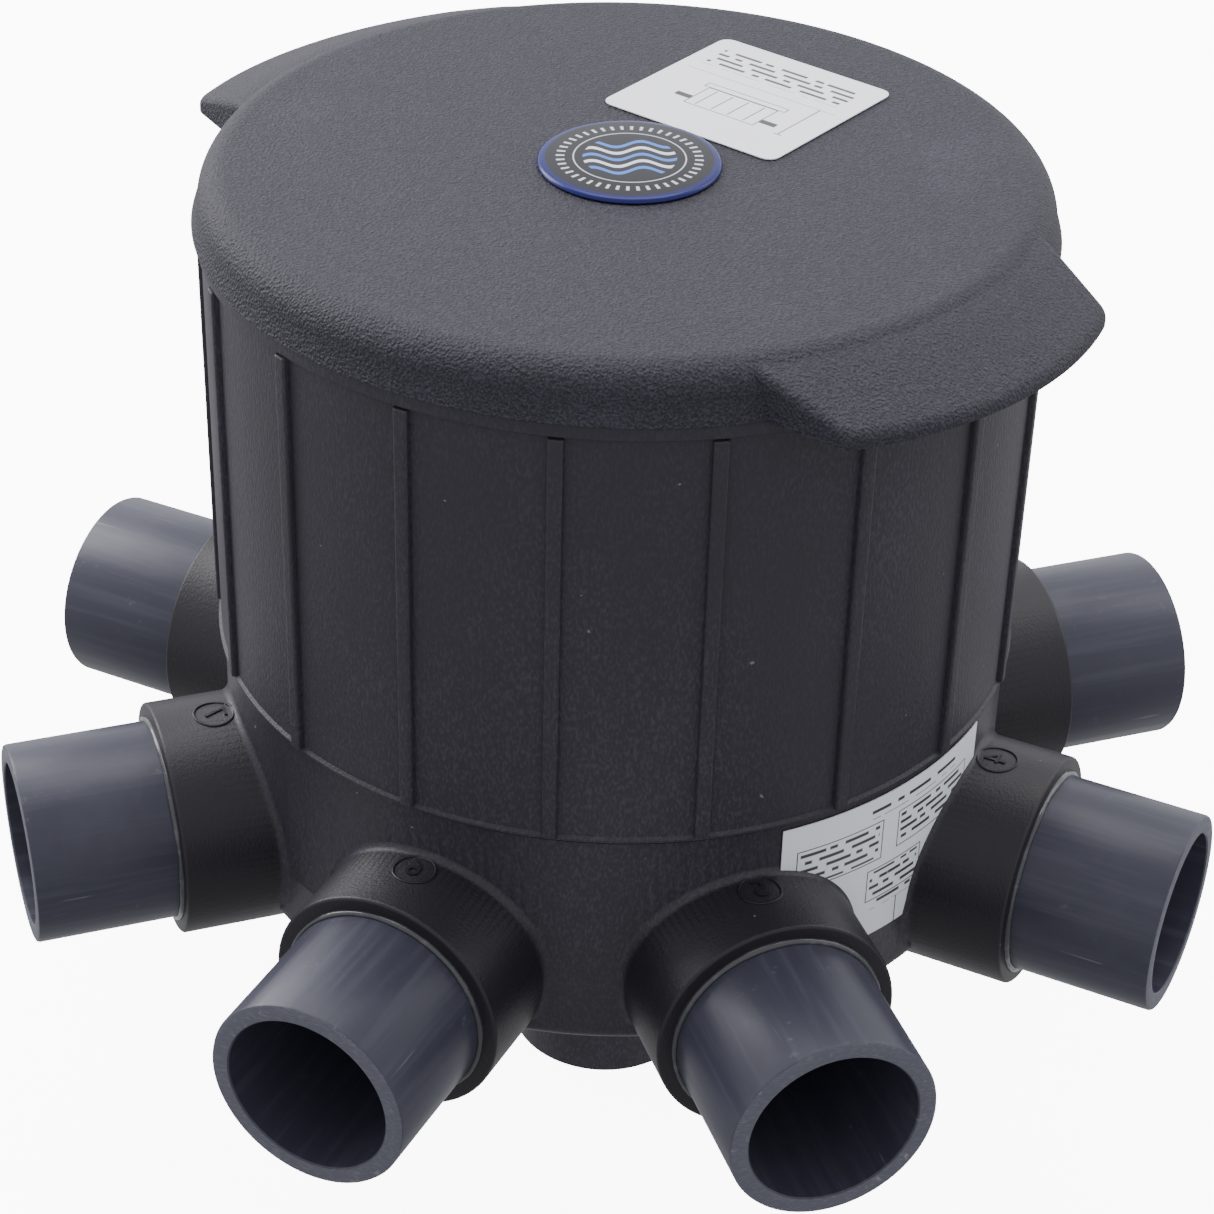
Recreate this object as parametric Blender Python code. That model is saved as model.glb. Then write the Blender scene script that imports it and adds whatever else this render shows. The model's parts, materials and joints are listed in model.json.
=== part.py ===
"""Eight-outlet water distribution valve with a twist-off cover, built as separate named pieces.

Metres, +Z up. The origin is the centre of the inlet mouth, on the plane the valve stands on.
"""

import math

import bmesh
import bpy
from mathutils import Matrix, Vector
from mathutils.geometry import convex_hull_2d

# ---------------------------------------------------------------- driving dimensions
GAP = 0.0003                      # left between pieces that touch
FINE = 54                         # sides of the lower body
LARGE = 36                        # sides of the other large turned pieces
ROUND = 24                        # sides of pipes, collars and small turned pieces
COARSE = 12                       # sides of hidden pins and holes
SKEW = 1.3                        # degrees that keep facets of crossing shapes from lining up

# Two-inch Schedule 80 pipe, which every socket and passage follows
PIPE_RADIUS = 0.030165
BORE_RADIUS = 0.024625

# Eight outlets on a circle
OUTLETS = 8
OUTLET_STEP = 360.0 / OUTLETS
OUTLET_FIRST = 112.5              # outlet 1 stands at OUTLET_FIRST, the others follow clockwise
OUTLET_HEIGHT = 0.115
PIPE_END = 0.1876
COLLAR_END = 0.1443
COLLAR_RADIUS = 0.0355
COLLAR_START = 0.100
SOCKET_DEPTH = 0.038
SOCKET_RADIUS = PIPE_RADIUS + GAP
PASSAGE_WIDTH = 0.0560            # outside of the boxed passages inside the wall
PASSAGE_START = 0.0480
PASSAGE_END = 0.1120
PASSAGE_BORE_START = 0.0710       # clear of the passages on both sides
PASSAGE_BOTTOM = 0.0855
WELL_CIRCLE = 0.078               # the passages turn up on this circle
WELL_BORE = 0.022

# Lower body
WALL_RADIUS = 0.1195
WALL_TOP = 0.1655
FLOOR_BOTTOM = 0.0930
FLOOR_TOP = 0.0985
FLOOR_CORNER = 0.0040             # rounding under the wall
LEDGE_RADIUS = 0.1105
RIM_BORE = 0.1146
DECK_HEIGHT = 0.1600
GASKET_TOP = WALL_TOP + 0.0009    # flat seal between lower body and barrel

# Barrel
BARREL_RADIUS = 0.1202
BARREL_BORE = 0.1155
BARREL_BOTTOM = GASKET_TOP + GAP
BARREL_TOP = 0.2990
FLANGE_RADIUS = 0.1215
RIBS = 18
RIB_FIRST = 5.0
RIB_HALF_WIDTH = 0.0021
RIB_PROUD = 0.0018
LIP_RADIUS = 0.1100               # inward lip that the cover's lugs turn under
LIP_BOTTOM = 0.2935
LEDGE_TOP = 0.2740                # inward ledge that the pressure lid sits on
LEDGE_BORE = 0.1014
LEDGE_DEPTH = 0.004
LEDGE_CONE = 0.010                # height of the cone that carries the ledge
RIM_FLANGE = 0.0041               # height of the flange round the barrel's top

# Cover
COVER_BOTTOM = BARREL_TOP + GAP
COVER_TOP = 0.3150
COVER_RADIUS = 0.1226
COVER_SHOULDER = 0.1207
COVER_FILLET = 0.0093
COVER_INSIDE = COVER_TOP - 0.0042
COVER_ANGLE = -42.7               # middle of the first wing when the cover is unlocked
LUGS = 4
LUG_ANGLE = 20.0
NOTCH_ANGLE = 27.0
LUG_RADIUS = 0.1144
LUG_BOTTOM = 0.2880
LUG_TOP = LIP_BOTTOM - 0.0004
RING_BORE = 0.1055
RING_RADIUS = 0.1090
RING_BOTTOM = 0.2865
WING_REACH = 0.1443
WING_CORNER = (0.1322, 0.0511)    # along and across the wing's middle line
WING_ROOT = (0.0950, 0.0585)
WING_EDGE = 0.0024                # rounding of the wing's upper edges
WING_SLOPE = 0.41
WING_BEND = (0.104, 0.124)        # radii between which the top bends down to the slope
WING_SKIN = 0.003
WING_START = 0.0980               # the wing's top starts here, inside the cap
COVER_BOSS_BOTTOM = 0.2900
COVER_BOSS_RADIUS = 0.0090

# Pressure lid and its pivot
LID_RADIUS = 0.1088
LID_BOTTOM = LEDGE_TOP + GAP
LID_RIM_TOP = RING_BOTTOM - GAP
LID_FACE = 0.2765
LID_SEAL_CIRCLE = 0.1040
LID_SEAL_RADIUS = 0.00105
PIVOT_RADIUS = 0.0036
PIVOT_HEAD = 0.0075
PIVOT_TOP = 0.3055
LID_BOSS_RADIUS = 0.0120
WASHER_THICKNESS = 0.0014

# Badge and labels
BADGE_RADIUS = 0.0260
BADGE_THICKNESS = 0.0019
BADGE_CENTRE = (0.0004, -0.0025)
LABEL_SIDE = 0.0612
LABEL_THICKNESS = 0.0003
LABEL_CENTRE = (0.0321, 0.0453)
LABEL_TURN = -34.45
BODY_LABEL_FROM = -63.3           # degrees round the lower body
BODY_LABEL_TO = -24.0
BODY_LABEL_TOP = 0.1640
BODY_LABEL_BOTTOM = 0.1135

# Port plate and distributor
PLATE_RADIUS = 0.1141
PLATE_BOTTOM = DECK_HEIGHT + GAP
PLATE_TOP = BARREL_BOTTOM - GAP
SPINDLE_RADIUS = 0.0310           # centre tube that the distributor turns on
SPINDLE_TOP = PLATE_TOP + 0.0190
DISC_RADIUS = 0.1035
PAD_TOP = PLATE_TOP + 0.0018
DISC_BOTTOM = PAD_TOP + GAP
DISC_TOP = DISC_BOTTOM + 0.0055
DISC_OPENING = 0.0210
HUB_RADIUS = 0.0385
HUB_TOP = SPINDLE_TOP - 0.0025
RING_TOOTH_TOP = HUB_TOP - 0.0012
OPEN_OUTLET = 5                   # outlet that the opening stands over at rest

# Turbine
TUBE_FLANGE = 0.0375
TUBE_BOTTOM = SPINDLE_TOP + GAP
TUBE_RADIUS = 0.0290
TUBE_SPIGOT = 0.0275              # lower end of the tube, which stands in the spindle
TUBE_RIM = 0.0330                 # upper flange, under the gearbox
TUBE_TOP = TUBE_BOTTOM + 0.0397
SHAFT_RADIUS = 0.0025
SHAFT_BOTTOM = PLATE_TOP + 0.0020
STATOR_RING = 0.0018
VANE_THICKNESS = 0.0016
BLADES = 6
IMPELLER_BOTTOM = TUBE_BOTTOM + 0.0042
IMPELLER_HUB = 0.0072
HUB_NOSE = 0.0055
BLADE_SIZE = (0.0170, 0.0016, 0.0130)
BLADE_SLANT = 40.0

# Gear train: pinion on the shaft, two compound gears, toothed ring on the distributor
PINION_TEETH = 10
WHEEL_TEETH = 30
RING_TEETH = 40
FINE_MODULE = 0.0015
RING_MODULE = 0.0021
BACKLASH = 0.0004                 # taken off each tooth's width
CENTRE_FINE = FINE_MODULE * (PINION_TEETH + WHEEL_TEETH) / 2
CENTRE_RING = RING_MODULE * (PINION_TEETH + RING_TEETH) / 2
OUTPUT_DIRECTION = 90.0           # from the main axis to the output gear's axis
IDLER_TURN = math.degrees(math.acos(CENTRE_RING / (2 * CENTRE_FINE)))
WHEEL_HEIGHT = 0.0060
AXLE_RADIUS = 0.0020
OUTPUT_SHAFT = 0.0040
CASE_BOTTOM = TUBE_TOP + GAP
CASE_FLOOR = CASE_BOTTOM + 0.0030
CASE_TOP = CASE_FLOOR + 0.0207
CASE_COVER_TOP = CASE_TOP + 0.0033
SHAFT_TOP = CASE_COVER_TOP - 0.0008
SCREW_RADIUS = 0.0016
SCREW_HEAD = 0.0034
SCREW_DEPTH = 0.0100


# ---------------------------------------------------------------- helpers
def polar(radius, degrees):
    """Plan point at a radius and an angle from +X."""
    angle = math.radians(degrees)
    return Vector((radius * math.cos(angle), radius * math.sin(angle)))


def circle(radius, sides, centre=(0.0, 0.0), start=0.0):
    """Closed plan outline of a round shape."""
    middle = Vector(centre)
    return [middle + polar(radius, start + 360.0 * i / sides) for i in range(sides)]


def outlet_angle(number):
    """Direction of an outlet; the numbers run clockwise seen from above."""
    return OUTLET_FIRST - OUTLET_STEP * (number - 1)


IDLER_AXIS = polar(CENTRE_FINE, OUTPUT_DIRECTION + IDLER_TURN)
OUTPUT_AXIS = polar(CENTRE_RING, OUTPUT_DIRECTION)


def material(name, color, roughness, metallic=0.0):
    """One Principled material."""
    shader = bpy.data.materials.new(name)
    shader.use_nodes = True
    shader.diffuse_color = (*color, 1.0)
    values = shader.node_tree.nodes["Principled BSDF"].inputs
    values["Base Color"].default_value = (*color, 1.0)
    values["Roughness"].default_value = roughness
    values["Metallic"].default_value = metallic
    return shader


def from_bmesh(bm):
    """Link a closed mesh with its faces pointing out."""
    bmesh.ops.recalc_face_normals(bm, faces=bm.faces)
    mesh = bpy.data.meshes.new("shape")
    bm.to_mesh(mesh)
    bm.free()
    shape = bpy.data.objects.new("shape", mesh)
    bpy.context.collection.objects.link(shape)
    return shape


def lathe(profile, sides, start=0.0):
    """Turn a closed (radius, height) outline about Z."""
    bm = bmesh.new()
    rings = []
    for radius, height in profile:
        if radius == 0.0:
            rings.append([bm.verts.new((0.0, 0.0, height))] * sides)
        else:
            points = circle(radius, sides, start=start)
            rings.append([bm.verts.new((p.x, p.y, height)) for p in points])
    for lower, upper in zip(rings, rings[1:] + rings[:1]):
        for i in range(sides):
            j = (i + 1) % sides
            corners = list(dict.fromkeys((lower[i], lower[j], upper[j], upper[i])))
            if len(corners) > 2:
                bm.faces.new(corners)
    return from_bmesh(bm)


def prism(outline, low, high, holes=()):
    """Extrude a plan outline, with holes, between two heights."""
    bm = bmesh.new()
    edges = []
    for loop in (outline, *holes):
        points = [bm.verts.new((p[0], p[1], low)) for p in loop]
        edges += [bm.edges.new((points[i - 1], points[i])) for i in range(len(points))]
    bmesh.ops.triangle_fill(bm, use_beauty=True, edges=edges)
    raised = bmesh.ops.extrude_face_region(bm, geom=bm.faces[:])["geom"]
    upper = [v for v in raised if isinstance(v, bmesh.types.BMVert)]
    bmesh.ops.translate(bm, verts=upper, vec=(0.0, 0.0, high - low))
    return from_bmesh(bm)


def rod(start, end, radius, sides):
    """Solid cylinder between two points."""
    start, end = Vector(start), Vector(end)
    along = end - start
    place = Matrix.Translation((start + end) / 2) @ along.to_track_quat("Z", "Y").to_matrix().to_4x4()
    bm = bmesh.new()
    bmesh.ops.create_cone(bm, cap_ends=True, segments=sides, radius1=radius, radius2=radius,
                          depth=along.length, matrix=place)
    return from_bmesh(bm)


def radial_rod(degrees, inner, outer, height, radius, sides=ROUND):
    """Solid cylinder lying along a radius."""
    near, far = polar(inner, degrees), polar(outer, degrees)
    return rod((*near, height), (*far, height), radius, sides)


def block(size, place):
    """Box of a size, moved by a matrix."""
    bm = bmesh.new()
    bmesh.ops.create_cube(bm, size=1.0, matrix=place @ Matrix.Diagonal((*size, 1.0)))
    return from_bmesh(bm)


def radial_block(degrees, inner, outer, width, low, high):
    """Box along a radius."""
    turn = Matrix.Rotation(math.radians(degrees), 4, "Z")
    place = turn @ Matrix.Translation(((inner + outer) / 2, 0.0, (low + high) / 2))
    return block((outer - inner, width, high - low), place)


def sector(degrees, spread, inner, outer, low, high, steps=4):
    """Curved block between two radii, centred on a direction."""
    angles = [degrees + spread * (i / steps - 0.5) for i in range(steps + 1)]
    outline = [polar(outer, a) for a in angles] + [polar(inner, a) for a in reversed(angles)]
    return prism(outline, low, high)


def combine(target, tools, operation):
    """Join the tools to a shape, or cut them from it, in one Boolean, and remove them."""
    group = bpy.data.collections.new("tools")
    for tool in tools:
        group.objects.link(tool)
    step = target.modifiers.new("step", "BOOLEAN")
    step.operation = operation
    step.solver = "EXACT"
    step.operand_type = "COLLECTION"
    step.collection = group
    graph = bpy.context.evaluated_depsgraph_get()
    mesh = bpy.data.meshes.new_from_object(target.evaluated_get(graph))
    target.modifiers.clear()
    target.data = mesh
    for tool in tools:
        bpy.data.objects.remove(tool, do_unlink=True)
    bpy.data.collections.remove(group)
    return target


def piece(name, shape, shader, axis=(0.0, 0.0)):
    """Name a finished shape, shade it and stand it on its upright axis."""
    shape.name = name
    shape.data.name = name
    shape.data.materials.clear()
    shape.data.materials.append(shader)
    shape.data.shade_smooth()
    shape.data.set_sharp_from_angle(angle=math.radians(32))
    shape.location = (*axis, 0.0)
    return shape


def torus(circle_radius, radius, height, sides, around=4):
    """O-ring lying flat."""
    profile = [Vector((circle_radius, height)) + polar(radius, 360.0 * i / around) for i in range(around)]
    return lathe([tuple(p) for p in profile], sides)


def gear_outline(teeth, module, mesh_direction, gap_there):
    """Involute gear outline with a tooth, or a gap, on the direction where it meets its partner."""
    pitch = teeth * module / 2
    base = pitch * math.cos(math.radians(20))
    root = pitch - 1.2 * module
    tip = pitch + 0.85 * module
    half_tooth = (math.pi * module / 2 - BACKLASH) / (2 * pitch)

    def involute(radius):
        if radius <= base:
            return 0.0
        rolled = math.sqrt((radius / base) ** 2 - 1)
        return rolled - math.atan(rolled)

    flank = [root, tip]
    offsets = [half_tooth + involute(pitch) - involute(r) for r in flank]
    turn = math.radians(mesh_direction) + (math.pi / teeth if gap_there else 0.0)
    outline = []
    for tooth in range(teeth):
        middle = turn + 2 * math.pi * tooth / teeth
        rising = [(r, middle - o) for r, o in zip(flank, offsets)]
        falling = [(r, middle + o) for r, o in zip(reversed(flank), reversed(offsets))]
        outline += [Vector((r * math.cos(a), r * math.sin(a))) for r, a in rising + falling]
    return outline


def hull(circles):
    """Convex outline round a set of (centre, radius) circles."""
    points = [p for centre, radius in circles for p in circle(radius, 18, centre)]
    return [points[i] for i in convex_hull_2d(points)]


# ---------------------------------------------------------------- body
def passage_outline():
    """Plan of the eight boxed passages, which meet side by side near the middle."""
    half = PASSAGE_WIDTH / 2
    meeting = half / math.sin(math.radians(OUTLET_STEP / 2))
    outline = []
    for number in range(OUTLETS, 0, -1):
        angle = outlet_angle(number)
        turn = Matrix.Rotation(math.radians(angle), 2)
        outline += [turn @ Vector((PASSAGE_END, -half)), turn @ Vector((PASSAGE_END, half)),
                    polar(meeting, angle + OUTLET_STEP / 2)]
    return outline


def lower_body(shader):
    """Bowl with the inlet spigot, eight collars and the boxed passages that turn up to the deck."""
    shape = lathe([
        (0.0, FLOOR_BOTTOM), (WALL_RADIUS - FLOOR_CORNER, FLOOR_BOTTOM),
        (WALL_RADIUS - 0.3 * FLOOR_CORNER, FLOOR_BOTTOM + 0.3 * FLOOR_CORNER),
        (WALL_RADIUS, FLOOR_BOTTOM + FLOOR_CORNER), (WALL_RADIUS, WALL_TOP), (RIM_BORE, WALL_TOP),
        (RIM_BORE, DECK_HEIGHT), (LEDGE_RADIUS, DECK_HEIGHT), (LEDGE_RADIUS, FLOOR_TOP),
        (0.0, FLOOR_TOP),
    ], FINE, start=SKEW)
    inlet = rod((0.0, 0.0, 0.0), (0.0, 0.0, DECK_HEIGHT), PIPE_RADIUS, ROUND)
    block_top = DECK_HEIGHT - 0.0002
    solids = [inlet, prism(passage_outline(), PASSAGE_BOTTOM, block_top, [circle(PASSAGE_START, 16)])]
    hollows = [rod((0.0, 0.0, -0.01), (0.0, 0.0, DECK_HEIGHT + 0.01), BORE_RADIUS, ROUND)]
    socket_stop = COLLAR_END - SOCKET_DEPTH
    for number in range(1, OUTLETS + 1):
        angle = outlet_angle(number)
        well = polar(WELL_CIRCLE, angle)
        solids.append(radial_rod(angle, COLLAR_START, COLLAR_END, OUTLET_HEIGHT, COLLAR_RADIUS))
        hollows.append(radial_rod(angle, socket_stop, COLLAR_END + 0.01, OUTLET_HEIGHT, SOCKET_RADIUS))
        hollows.append(radial_rod(angle, PASSAGE_BORE_START, socket_stop + 0.002, OUTLET_HEIGHT,
                                  BORE_RADIUS, 16))
        hollows.append(rod((*well, OUTLET_HEIGHT - 0.010), (*well, DECK_HEIGHT + 0.01), WELL_BORE, 16))
    combine(shape, solids, "UNION")
    combine(shape, hollows, "DIFFERENCE")
    return piece("lower_body", shape, shader)


def pipe_stubs(shader):
    """Eight cut lengths of pipe, glued into the collars."""
    inner = COLLAR_END - SOCKET_DEPTH + GAP
    profile = [
        (BORE_RADIUS, inner), (PIPE_RADIUS, inner), (PIPE_RADIUS, PIPE_END), (BORE_RADIUS, PIPE_END),
    ]
    for number in range(1, OUTLETS + 1):
        shape = lathe(profile, ROUND)
        aim = Vector((*polar(1.0, outlet_angle(number)), 0.0)).to_track_quat("Z", "Y").to_matrix().to_4x4()
        shape.data.transform(Matrix.Translation((0.0, 0.0, OUTLET_HEIGHT)) @ aim)
        piece(f"pipe_stub_{number}", shape, shader)


def barrel_gasket(shader):
    """Flat seal between the lower body's wall and the barrel."""
    low, inner, outer = WALL_TOP + GAP, RIM_BORE + GAP, WALL_RADIUS - 0.0010
    ring = lathe([(outer, low), (outer, GASKET_TOP), (inner, GASKET_TOP), (inner, low)], FINE)
    return piece("barrel_gasket", ring, shader)


def rib(degrees):
    """Thin upright rib with a rounded face, sunk into the barrel's wall."""
    buried = BARREL_RADIUS - 0.0015
    face = BARREL_RADIUS + RIB_PROUD
    outline = [(buried, -RIB_HALF_WIDTH), (face - 0.0007, -RIB_HALF_WIDTH), (face, -RIB_HALF_WIDTH / 2),
               (face, RIB_HALF_WIDTH / 2), (face - 0.0007, RIB_HALF_WIDTH), (buried, RIB_HALF_WIDTH)]
    turn = Matrix.Rotation(math.radians(degrees), 2)
    return prism([turn @ Vector(p) for p in outline], BARREL_BOTTOM + 0.0004,
                 BARREL_TOP - RIM_FLANGE - 0.0003)


def barrel(shader):
    """Ribbed canister, with the lip for the cover's lugs and the ledge for the pressure lid."""
    shape = lathe([
        (BARREL_RADIUS, BARREL_BOTTOM), (BARREL_RADIUS, BARREL_TOP - RIM_FLANGE - 0.0005),
        (FLANGE_RADIUS, BARREL_TOP - RIM_FLANGE), (FLANGE_RADIUS, BARREL_TOP), (LIP_RADIUS, BARREL_TOP),
        (LIP_RADIUS, LIP_BOTTOM), (BARREL_BORE, LIP_BOTTOM), (BARREL_BORE, LEDGE_TOP),
        (LEDGE_BORE, LEDGE_TOP), (LEDGE_BORE, LEDGE_TOP - LEDGE_DEPTH),
        (BARREL_BORE, LEDGE_TOP - LEDGE_DEPTH - LEDGE_CONE), (BARREL_BORE, BARREL_BOTTOM + 0.005),
        (LEDGE_RADIUS, BARREL_BOTTOM + 0.003), (LEDGE_RADIUS, BARREL_BOTTOM),
    ], LARGE, start=RIB_FIRST)
    combine(shape, [rib(RIB_FIRST + 360.0 * i / RIBS) for i in range(RIBS)], "UNION")
    notches = [sector(COVER_ANGLE + 360.0 * i / LUGS, NOTCH_ANGLE, LIP_RADIUS - 0.002, BARREL_BORE - 0.0001,
                      LIP_BOTTOM - 0.001, BARREL_TOP + 0.001) for i in range(LUGS)]
    combine(shape, notches, "DIFFERENCE")
    return piece("barrel", shape, shader)


# ---------------------------------------------------------------- cover and pressure lid
def wing_height(radius):
    """Height of a wing's top: level, then bending down to an even slope."""
    start, end = WING_BEND
    curve = WING_SLOPE / (2 * (end - start))
    bent = min(max(radius - start, 0.0), end - start)
    return COVER_TOP - 0.0001 - curve * bent ** 2 - WING_SLOPE * max(radius - end, 0.0)


def wing_outline(inset):
    """Plan outline of a wing along +X, from one root over the outer arc to the other."""
    half = WING_CORNER[1]
    rise = WING_REACH - WING_CORNER[0]
    arc_radius = (half ** 2 + rise ** 2) / (2 * rise)
    centre = Vector((WING_REACH - arc_radius, 0.0))
    spread = math.degrees(math.asin(half / arc_radius))
    corner = 0.055                # share of the arc given up to the rounded corner
    arc = [centre + polar(arc_radius, -spread * (1 - corner) * (1 - i / 4)) for i in range(9)]
    root, tip = Vector((WING_ROOT[0], -WING_ROOT[1])), Vector((WING_CORNER[0], -WING_CORNER[1]))
    side = [root.lerp(tip, s) for s in (0.0, 0.45, 0.72, 0.93)]
    half_way = (side[-1] + arc[0]) / 2
    side.append(half_way.lerp(tip, 0.55))
    mirrored = [Vector((p.x, -p.y)) for p in reversed(side)]
    outline = side + arc + mirrored
    moved = []
    for i, point in enumerate(outline):
        before, after = outline[max(i - 1, 0)], outline[min(i + 1, len(outline) - 1)]
        along = (after - before).normalized()
        moved.append(point + Vector((-along.y, along.x)) * inset)
    return moved


def wing(degrees):
    """Solid wing with rounded upper edges, running into the cap."""
    turn = Matrix.Rotation(math.radians(degrees), 4, "Z")
    bm = bmesh.new()
    rows = []
    edge_loop = wing_outline(WING_EDGE)
    for share in (0.0, 0.28, 0.6, 1.0):
        row = []
        for point in edge_loop:
            direction = point.normalized()
            radius = WING_START + (point.length - WING_START) * share
            row.append((*(direction * radius), wing_height(radius)))
        rows.append(row)
    for sweep in (45, 90):
        inset = WING_EDGE * (1 - math.sin(math.radians(sweep)))
        drop = WING_EDGE * (1 - math.cos(math.radians(sweep)))
        rows.append([(p.x, p.y, wing_height(p.length) - drop) for p in wing_outline(inset)])
    rows.append([(x, y, COVER_BOTTOM + 0.0001) for x, y, _ in rows[-1]])
    rows.append([(x, y, COVER_BOTTOM + 0.0001) for x, y, _ in rows[0]])
    grid = [[bm.verts.new(turn @ Vector(p)) for p in row] for row in rows]
    for upper, lower in zip(grid, grid[1:] + grid[:1]):
        for i in range(len(upper) - 1):
            bm.faces.new((upper[i], upper[i + 1], lower[i + 1], lower[i]))
    for end in (0, -1):
        bm.faces.new([row[end] for row in grid])
    bmesh.ops.triangulate(bm, faces=bm.faces)
    return from_bmesh(bm)


def wing_pocket(degrees):
    """Hollow under a wing that leaves an even skin."""
    angles = [degrees + 36.0 * (i / 5 - 0.5) for i in range(6)]
    radii = (COVER_RADIUS + 0.0035, 0.1370)
    bm = bmesh.new()
    columns = []
    for angle in angles:
        top = [(*polar(r, angle), wing_height(r) - WING_SKIN) for r in radii]
        low = [(*polar(r, angle), COVER_BOTTOM - 0.001) for r in reversed(radii)]
        columns.append([bm.verts.new(p) for p in top + low])
    for left, right in zip(columns, columns[1:]):
        for i in range(len(left)):
            j = (i + 1) % len(left)
            bm.faces.new((left[i], left[j], right[j], right[i]))
    bm.faces.new(columns[0])
    bm.faces.new(columns[-1])
    return from_bmesh(bm)


def cover(shader):
    """Cap with two wings, an inner ring with lugs and a pivot boss."""
    centre = Vector((COVER_SHOULDER - COVER_FILLET, COVER_TOP - COVER_FILLET))
    fillet = [tuple(centre + polar(COVER_FILLET, 30.0 * i)) for i in range(4)]
    shape = lathe([
        (COVER_RADIUS, COVER_BOTTOM), *fillet, (0.0, COVER_TOP), (0.0, COVER_INSIDE),
        (RING_BORE, COVER_INSIDE), (RING_BORE, RING_BOTTOM), (RING_RADIUS, RING_BOTTOM),
        (RING_RADIUS, COVER_INSIDE),
        (0.1160, COVER_INSIDE - 0.0030), (0.1180, COVER_BOTTOM),
    ], LARGE)
    screw_hole, hole_top = PIVOT_RADIUS + GAP, PIVOT_TOP + 0.0020
    boss = lathe([(0.0, COVER_TOP - 0.002), (COVER_BOSS_RADIUS, COVER_TOP - 0.002),
                  (COVER_BOSS_RADIUS, COVER_BOSS_BOTTOM), (screw_hole, COVER_BOSS_BOTTOM),
                  (screw_hole, hole_top), (0.0, hole_top)], 16)
    solids = [wing(COVER_ANGLE + 180.0 * i) for i in range(2)]
    solids += [sector(COVER_ANGLE + 360.0 * i / LUGS, LUG_ANGLE, RING_RADIUS - 0.001, LUG_RADIUS,
                      LUG_BOTTOM, LUG_TOP, steps=3) for i in range(LUGS)]
    combine(shape, [*solids, boss], "UNION")
    combine(shape, [wing_pocket(COVER_ANGLE + 180.0 * i) for i in range(2)], "DIFFERENCE")
    return piece("cover", shape, shader)


def badge(shader):
    """Round emblem with a rounded rim."""
    low = COVER_TOP + GAP
    high = low + BADGE_THICKNESS
    shape = lathe([(0.0, low), (BADGE_RADIUS, low), (BADGE_RADIUS, low + 0.0010),
                   (BADGE_RADIUS - 0.0015, high), (0.0, high)], 40)
    return piece("badge", shape, shader, BADGE_CENTRE)


def cover_label(shader):
    """Square sticker with rounded corners."""
    corner, half = 0.0035, LABEL_SIDE / 2
    outline = []
    for turn in (0, 90, 180, 270):
        middle = Matrix.Rotation(math.radians(turn), 2) @ Vector((half - corner, half - corner))
        outline += [middle + polar(corner, turn + 22.5 * i) for i in range(5)]
    spin = Matrix.Rotation(math.radians(LABEL_TURN), 2)
    shape = prism([spin @ p for p in outline], COVER_TOP + GAP, COVER_TOP + GAP + LABEL_THICKNESS)
    return piece("cover_label", shape, shader, LABEL_CENTRE)


def lid_plate(shader):
    """Pressure lid: sealing rim, flat face and centre boss."""
    seat, face_top, spigot = LID_BOTTOM + 0.0024, LID_FACE + 0.004, LEDGE_BORE - 0.0009
    shape = lathe([
        (LID_RADIUS, seat), (LID_RADIUS, LID_RIM_TOP), (LID_RADIUS - 0.0048, LID_RIM_TOP),
        (LID_RADIUS - 0.0070, face_top), (0.0, face_top), (0.0, LID_FACE), (spigot - 0.0040, LID_FACE),
        (spigot - 0.0030, LEDGE_TOP - 0.0030), (spigot, LEDGE_TOP - 0.0030), (spigot, seat),
    ], LARGE)
    boss_top = COVER_BOSS_BOTTOM - GAP
    boss = rod((0.0, 0.0, LID_FACE + 0.002), (0.0, 0.0, boss_top), LID_BOSS_RADIUS, 16)
    hole = rod((0.0, 0.0, LID_FACE - 0.01), (0.0, 0.0, boss_top + 0.01), PIVOT_RADIUS + 2 * GAP, COARSE)
    combine(shape, [boss], "UNION")
    return piece("lid_plate", combine(shape, [hole], "DIFFERENCE"), shader)


def lid_seals(rubber):
    """O-ring under the pressure lid and washer under the pivot screw's head."""
    height = LEDGE_TOP + GAP + LID_SEAL_RADIUS
    piece("lid_o_ring", torus(LID_SEAL_CIRCLE, LID_SEAL_RADIUS, height, LARGE), rubber)
    high = LID_FACE - GAP
    low = high - WASHER_THICKNESS
    hole = PIVOT_RADIUS + 2 * GAP
    washer = lathe([(0.0095, low), (0.0095, high), (hole, high), (hole, low)], 16)
    piece("lid_pivot_washer", washer, rubber)


def lid_pivot_screw(shader):
    """Screw from below that holds the pressure lid to the cover and lets the cover turn."""
    head_top = LID_FACE - WASHER_THICKNESS - 2 * GAP
    head_bottom = head_top - 0.0042
    shape = lathe([
        (0.0, head_bottom + 0.0015), (0.0030, head_bottom + 0.0015), (0.0030, head_bottom),
        (PIVOT_HEAD - 0.0008, head_bottom), (PIVOT_HEAD, head_bottom + 0.0008), (PIVOT_HEAD, head_top),
        (PIVOT_RADIUS, head_top), (PIVOT_RADIUS, PIVOT_TOP - 0.0015),
        (PIVOT_RADIUS - 0.0010, PIVOT_TOP), (0.0, PIVOT_TOP),
    ], COARSE)
    return piece("lid_pivot_screw", shape, shader)


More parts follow.
